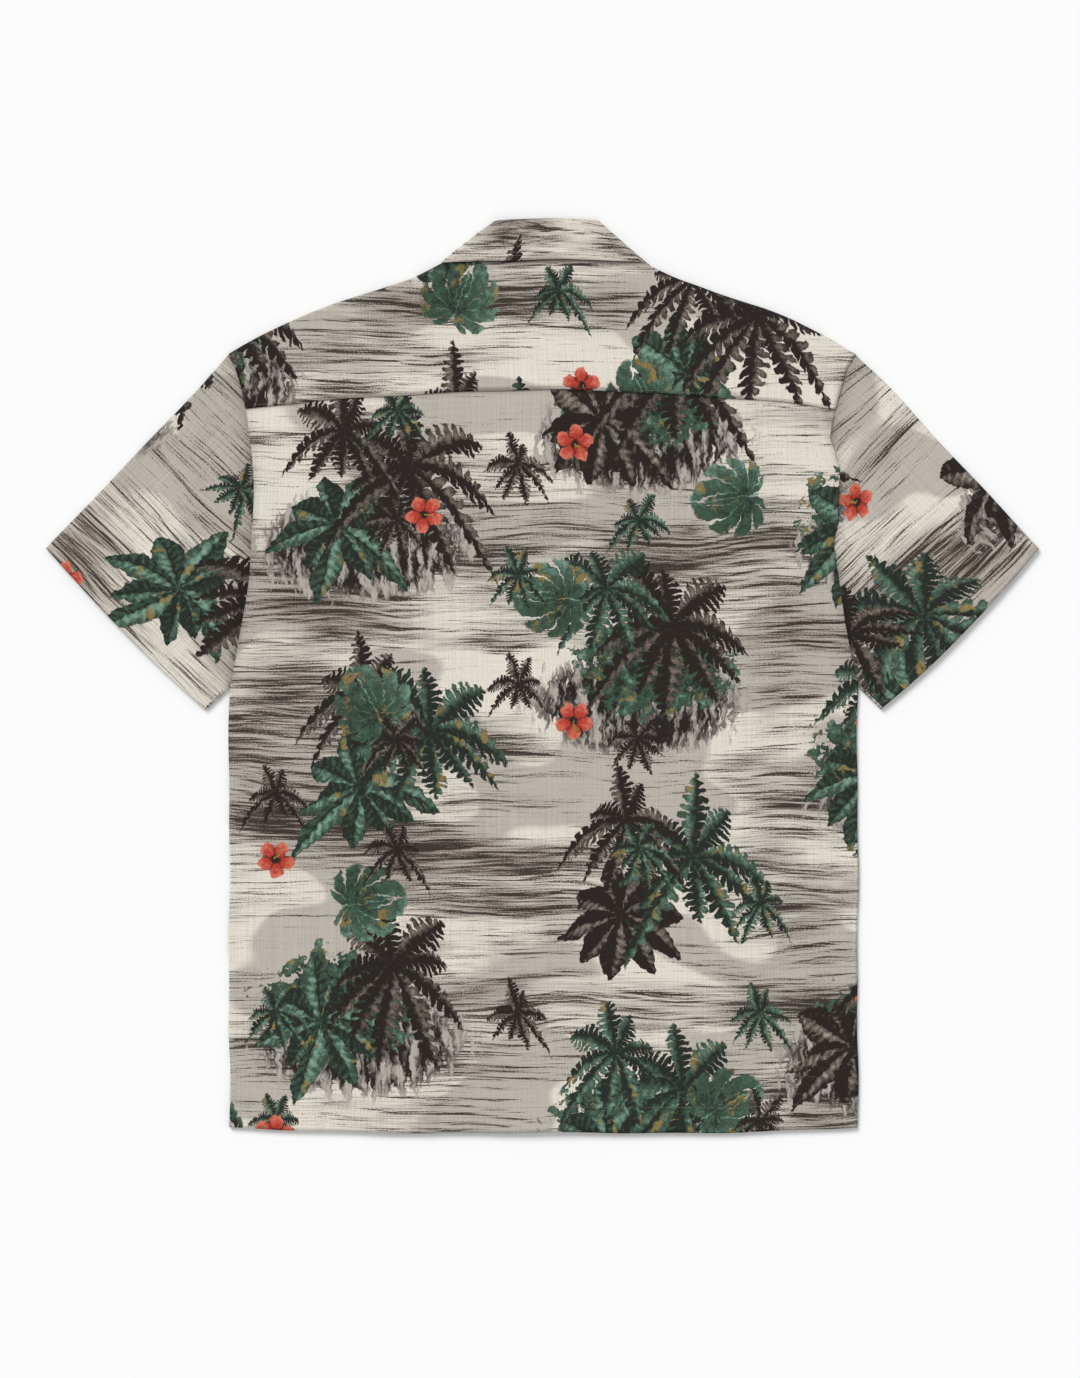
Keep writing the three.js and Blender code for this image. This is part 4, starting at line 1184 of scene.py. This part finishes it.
def print_colour(uv):
    place = uv.times(10, 10)
    colour = painted_ground(place)
    ragged = place.drift(16.0, 0.03, 3.0)
    # Mounds of brushed leaves, each with a bush, a spray of palm leaves and one of broad leaves.
    inside, (a, b, c) = cell_of(ragged, 2.3, 2.15, (0.13, 0.31), 3.0)
    inside = inside.plus(place.point((a - 0.5) * 0.4, (b - 0.5) * 0.35))
    x, y, _ = inside.parts()
    comb = ragged.times(12.0, 3.0).noise(1.0, 3.0, 0.65)
    leafage = ragged.noise(7.5, 3.0, 0.7)
    mound = place.point(x * 1.0 + (c - 0.5) * 0.3, (y + 0.5) * 2.0).length()
    mask = (0.95 - mound + (comb - 0.5) * 1.1).step(0.0, 0.14) * c.below(0.72)
    colour = mask.mix(colour, comb.step(0.44, 0.66).mix(SEPIA, MIST))
    bush = place.point(x * 1.3 - (b - 0.5) * 0.5, (y + 0.15) * 1.9).length()
    mask = (0.85 - bush + (leafage - 0.5) * 1.3).step(0.0, 0.07) * c.below(0.62)
    colour = mask.mix(colour, foliage_colour(ragged.plus((3, 3, 0)), leafage * 1.6 - 0.4))
    mask, shade = broad_leaves(inside.plus((0.3, 0.32, 0)), 9, 0.7, b * 40)
    colour = (mask * b.below(0.8)).mix(colour, foliage_colour(ragged, shade, b.above(0.5)))
    mask, shade = palm_spray(inside.plus((-0.32, -0.18, 0)), 10, 0.85, a * 40)
    colour = mask.mix(colour, foliage_colour(ragged, shade, a.above(0.45)))
    mask, shade = palm_spray(inside.plus((0.25, -0.5, 0)), 9, 0.62, c * 40)
    colour = (mask * a.below(0.75)).mix(colour, foliage_colour(ragged, shade, c.above(0.55)))
    # Single split leaves.
    inside, (a, b, c) = cell_of(ragged, 1.55, 1.75, (0.47, 0.12), 17.0)
    mask, shade = split_leaf(turned(inside, (a - 0.5) * 3.4), 0.42)
    colour = (mask * b.below(0.3)).mix(colour, foliage_colour(ragged, shade, c.above(0.7)))
    # Small sprays.
    inside, (a, b, c) = cell_of(ragged, 1.05, 0.95, (0.71, 0.58), 29.0)
    mask, shade = palm_spray(inside, 8, 0.34, c * 40)
    colour = (mask * b.below(0.32)).mix(colour, foliage_colour(ragged, shade, a.above(0.45)))
    # Flowers.
    inside, (a, b, c) = cell_of(ragged, 1.3, 1.2, (0.29, 0.83), 41.0)
    mask, petals = flower(turned(inside, a * TAU), 0.17)
    return (mask * b.below(0.3)).mix(colour, petals)


def new_look(name, roughness):
    """A material, its nodes and its shader."""
    material = bpy.data.materials.new(name)
    material.use_nodes = True
    surface = material.node_tree.nodes["Principled BSDF"]
    surface.inputs["Roughness"].default_value = roughness
    return material, material.node_tree, surface


def object_place(tree):
    return Wire(tree, tree.nodes.new("ShaderNodeTexCoord").outputs["Object"])


def cloth_look(name, faded):
    """Matt printed cloth with fine upright ribs and painted shade near seams; the reverse shows the
    print faintly.
    """
    material, tree, surface = new_look(name, 0.88)
    surface.inputs["Specular IOR Level"].default_value = 0.25
    start = tree.nodes.new("ShaderNodeUVMap")
    start.uv_map = "print"
    uv = Wire(tree, start.outputs[0])
    colour = print_colour(uv)
    if faded:
        colour = colour.towards(CREAM, REVERSE_FADE)
    rib = uv.times(1000 / YARN, 1000 / RIB_RUN).noise(1.0, 1.0, 0.5)
    thread = uv.times(1000 / THREAD_RUN, 1000 / YARN).noise(1.0, 1.0, 0.5)
    slub = uv.times(1000 / SLUB, 1000 / SLUB).noise(1.0, 1.0, 0.5)
    # seam is the painted shade near seams and under the collar's edge; it darkens the colour below.
    seam = uv.node("ShaderNodeAttribute", {}, output=2, attribute_name="seam")
    u, v, _ = uv.drift(25.0, 0.0012).parts()
    cord = (u * (1000 / CORD_ACROSS)).tooth() * 0.065 + (v * (1000 / CORD_ALONG)).tooth() * 0.015
    grain_and_painted_shade = (0.66 + rib * 0.22 + thread * 0.14 + slub * 0.32 + cord) * (1 - seam * 0.3)
    colour.moved("SCALE", grain_and_painted_shade).feed(surface, "Base Color")
    weave = (u * 1600).tooth() + (v * 1500).tooth()
    height = rib * 0.6 + thread * 0.4 + weave * 0.12
    bump = uv.node("ShaderNodeBump", {"Height": height, "Strength": 0.4, "Distance": 0.0006})
    bump.feed(surface, "Normal")
    return material


def plain_look(name, colour, roughness):
    material, tree, surface = new_look(name, roughness)
    paler = tuple(min(1.0, c * 1.5) for c in colour[:3]) + (1,)
    object_place(tree).noise(900.0, 1.0).mix(colour, paler).feed(surface, "Base Color")
    return material


def thread_look():
    """Twisted thread, a little darker than the cloth's ground."""
    material, tree, surface = new_look("thread", 0.8)
    twist = object_place(tree).times(2600, 2600).noise(1.0, 1.0)
    twist.mix((0.15, 0.132, 0.115, 1), (0.27, 0.242, 0.21, 1)).feed(surface, "Base Color")
    return material


def shell_look():
    """Polished coconut shell: dark brown with short paler fibres."""
    material, tree, surface = new_look("coconut_shell", 0.32)
    place = object_place(tree)
    fibre = place.drift(300.0, 0.0004).times(2600, 420).noise(1.0, 3.0, 0.6)
    cloud = place.noise(260.0, 2.0)
    colour = cloud.step(0.35, 0.7).mix((0.075, 0.036, 0.018, 1), (0.16, 0.085, 0.042, 1))
    colour = (fibre.step(0.55, 0.72) * 0.7).mix(colour, (0.33, 0.21, 0.12, 1))
    colour.feed(surface, "Base Color")
    (0.3 + fibre * 0.2).feed(surface, "Roughness")
    bump = place.node("ShaderNodeBump", {"Height": fibre, "Strength": 0.2, "Distance": 0.0002})
    bump.feed(surface, "Normal")
    return material


pieces = {
    "back": make_back(),
    "yoke": make_yoke(),
    "front_left": make_front(False),
    "front_right": make_front(True),
    "sleeve_left": make_sleeve(False),
    "sleeve_right": make_sleeve(True),
    "collar": make_collar(),
}
buttons = {
    f"button_{i}": make_button(y, f"button_{i}_turned") for i, y in enumerate(BUTTON_YS, start=1)
}

cloth_material = cloth_look("printed_cloth", False)
reverse_material = cloth_look("cloth_reverse", True)
thread_material = thread_look()
button_materials = [shell_look(), plain_look("hole_shadow", SEPIA, 0.9), thread_material]

back_hem = [on_back(x, HEM_Y + HEM_STITCH) for x in steps(-268, 268, 120)]
yoke_edge = [on_back(x, yoke_seam_y(x) + YOKE_STITCH) for x in steps(-248, 248, 120)]
stitches = {
    "back": make_stitches("back_stitches", [back_hem]),
    "yoke": make_stitches("yoke_stitches", [yoke_edge]),
    "front_left": front_stitches(False),
    "front_right": front_stitches(True),
    "sleeve_left": sleeve_stitches(False),
    "sleeve_right": sleeve_stitches(True),
    "collar": collar_stitches(),
}

# What each sheet was cut to, where that isn't a rectangle its area, and what it lies on.
CUTS = {
    "back": ((0.551, 0.648), 0.342, ["front_left", "front_right"]),
    "yoke": ((0.544, 0.165), 0.0616, ["front_left", "front_right", "collar"]),
    "front_left": ((0.294, 0.728), 0.1984, ["floor"]),
    "front_right": ((0.294, 0.728), 0.1984, ["front_left"]),
    "sleeve_left": ((0.39, 0.242), 0.0631, ["floor"]),
    "sleeve_right": ((0.39, 0.242), 0.0631, ["floor"]),
    "collar": ((0.31, 0.075), 0.0201, ["floor"]),
}


def dress(piece, materials, node=None):
    for material in materials:
        piece.data.materials.append(material)
    if node:
        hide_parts(node)
    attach(piece, "root")


for node, piece in pieces.items():
    dress(piece, [cloth_material, reverse_material], node)
for node, piece in buttons.items():
    dress(piece, button_materials, node)
for piece in stitches.values():
    dress(piece, [thread_material])

# The floor is paper from above and clear from below.
bm = bmesh.new()
bmesh.ops.create_grid(bm, x_segments=1, y_segments=1, size=15)
bmesh.ops.translate(bm, verts=bm.verts, vec=(0, 0, -0.0001))
floor = mesh_object("floor", bm)
floor_material, tree, surface = new_look("floor_paper", 0.9)
surface.inputs["Base Color"].default_value = PAPER
paper = Wire(tree, surface.outputs[0])
clear = Wire(tree, tree.nodes.new("ShaderNodeBsdfTransparent").outputs[0])
behind = Wire(tree, tree.nodes.new("ShaderNodeNewGeometry").outputs["Backfacing"])
seen = behind.node("ShaderNodeMixShader", {0: behind, 1: paper, 2: clear})
seen.feed(tree.nodes["Material Output"], "Surface")
floor.visible_diffuse = floor.visible_glossy = floor.visible_shadow = False  # lights the underside
floor.data.materials.append(floor_material)

camera_data = bpy.data.cameras.new("camera")
camera_data.lens = 85
camera_data.sensor_fit = "VERTICAL"
camera_data.sensor_height = 36
camera = placed("camera", camera_data)
camera.location = (-0.0030, -0.0117, 2.823)
bpy.context.scene.camera = camera

window_data = bpy.data.lights.new("window", "SUN")
window_data.energy = 2.15
window_data.angle = 0.5
window = placed("window", window_data)
window.location = (-0.9, 1.4, 1.5)
window.rotation_euler = (-window.location).to_track_quat("-Z", "Y").to_euler()
world = bpy.data.worlds.new("studio")
world.use_nodes = True
background = world.node_tree.nodes["Background"]
background.inputs["Color"].default_value = (1, 1, 1, 1)
background.inputs["Strength"].default_value = 0.58
bpy.context.scene.world = world
bpy.context.scene.view_settings.view_transform = "Standard"

for node, (flat, area, rests_on) in CUTS.items():
    carried = [stitches[node]] + (list(buttons.values()) if node == "front_right" else [])
    under = [pieces[name] if name in pieces else name for name in rests_on]
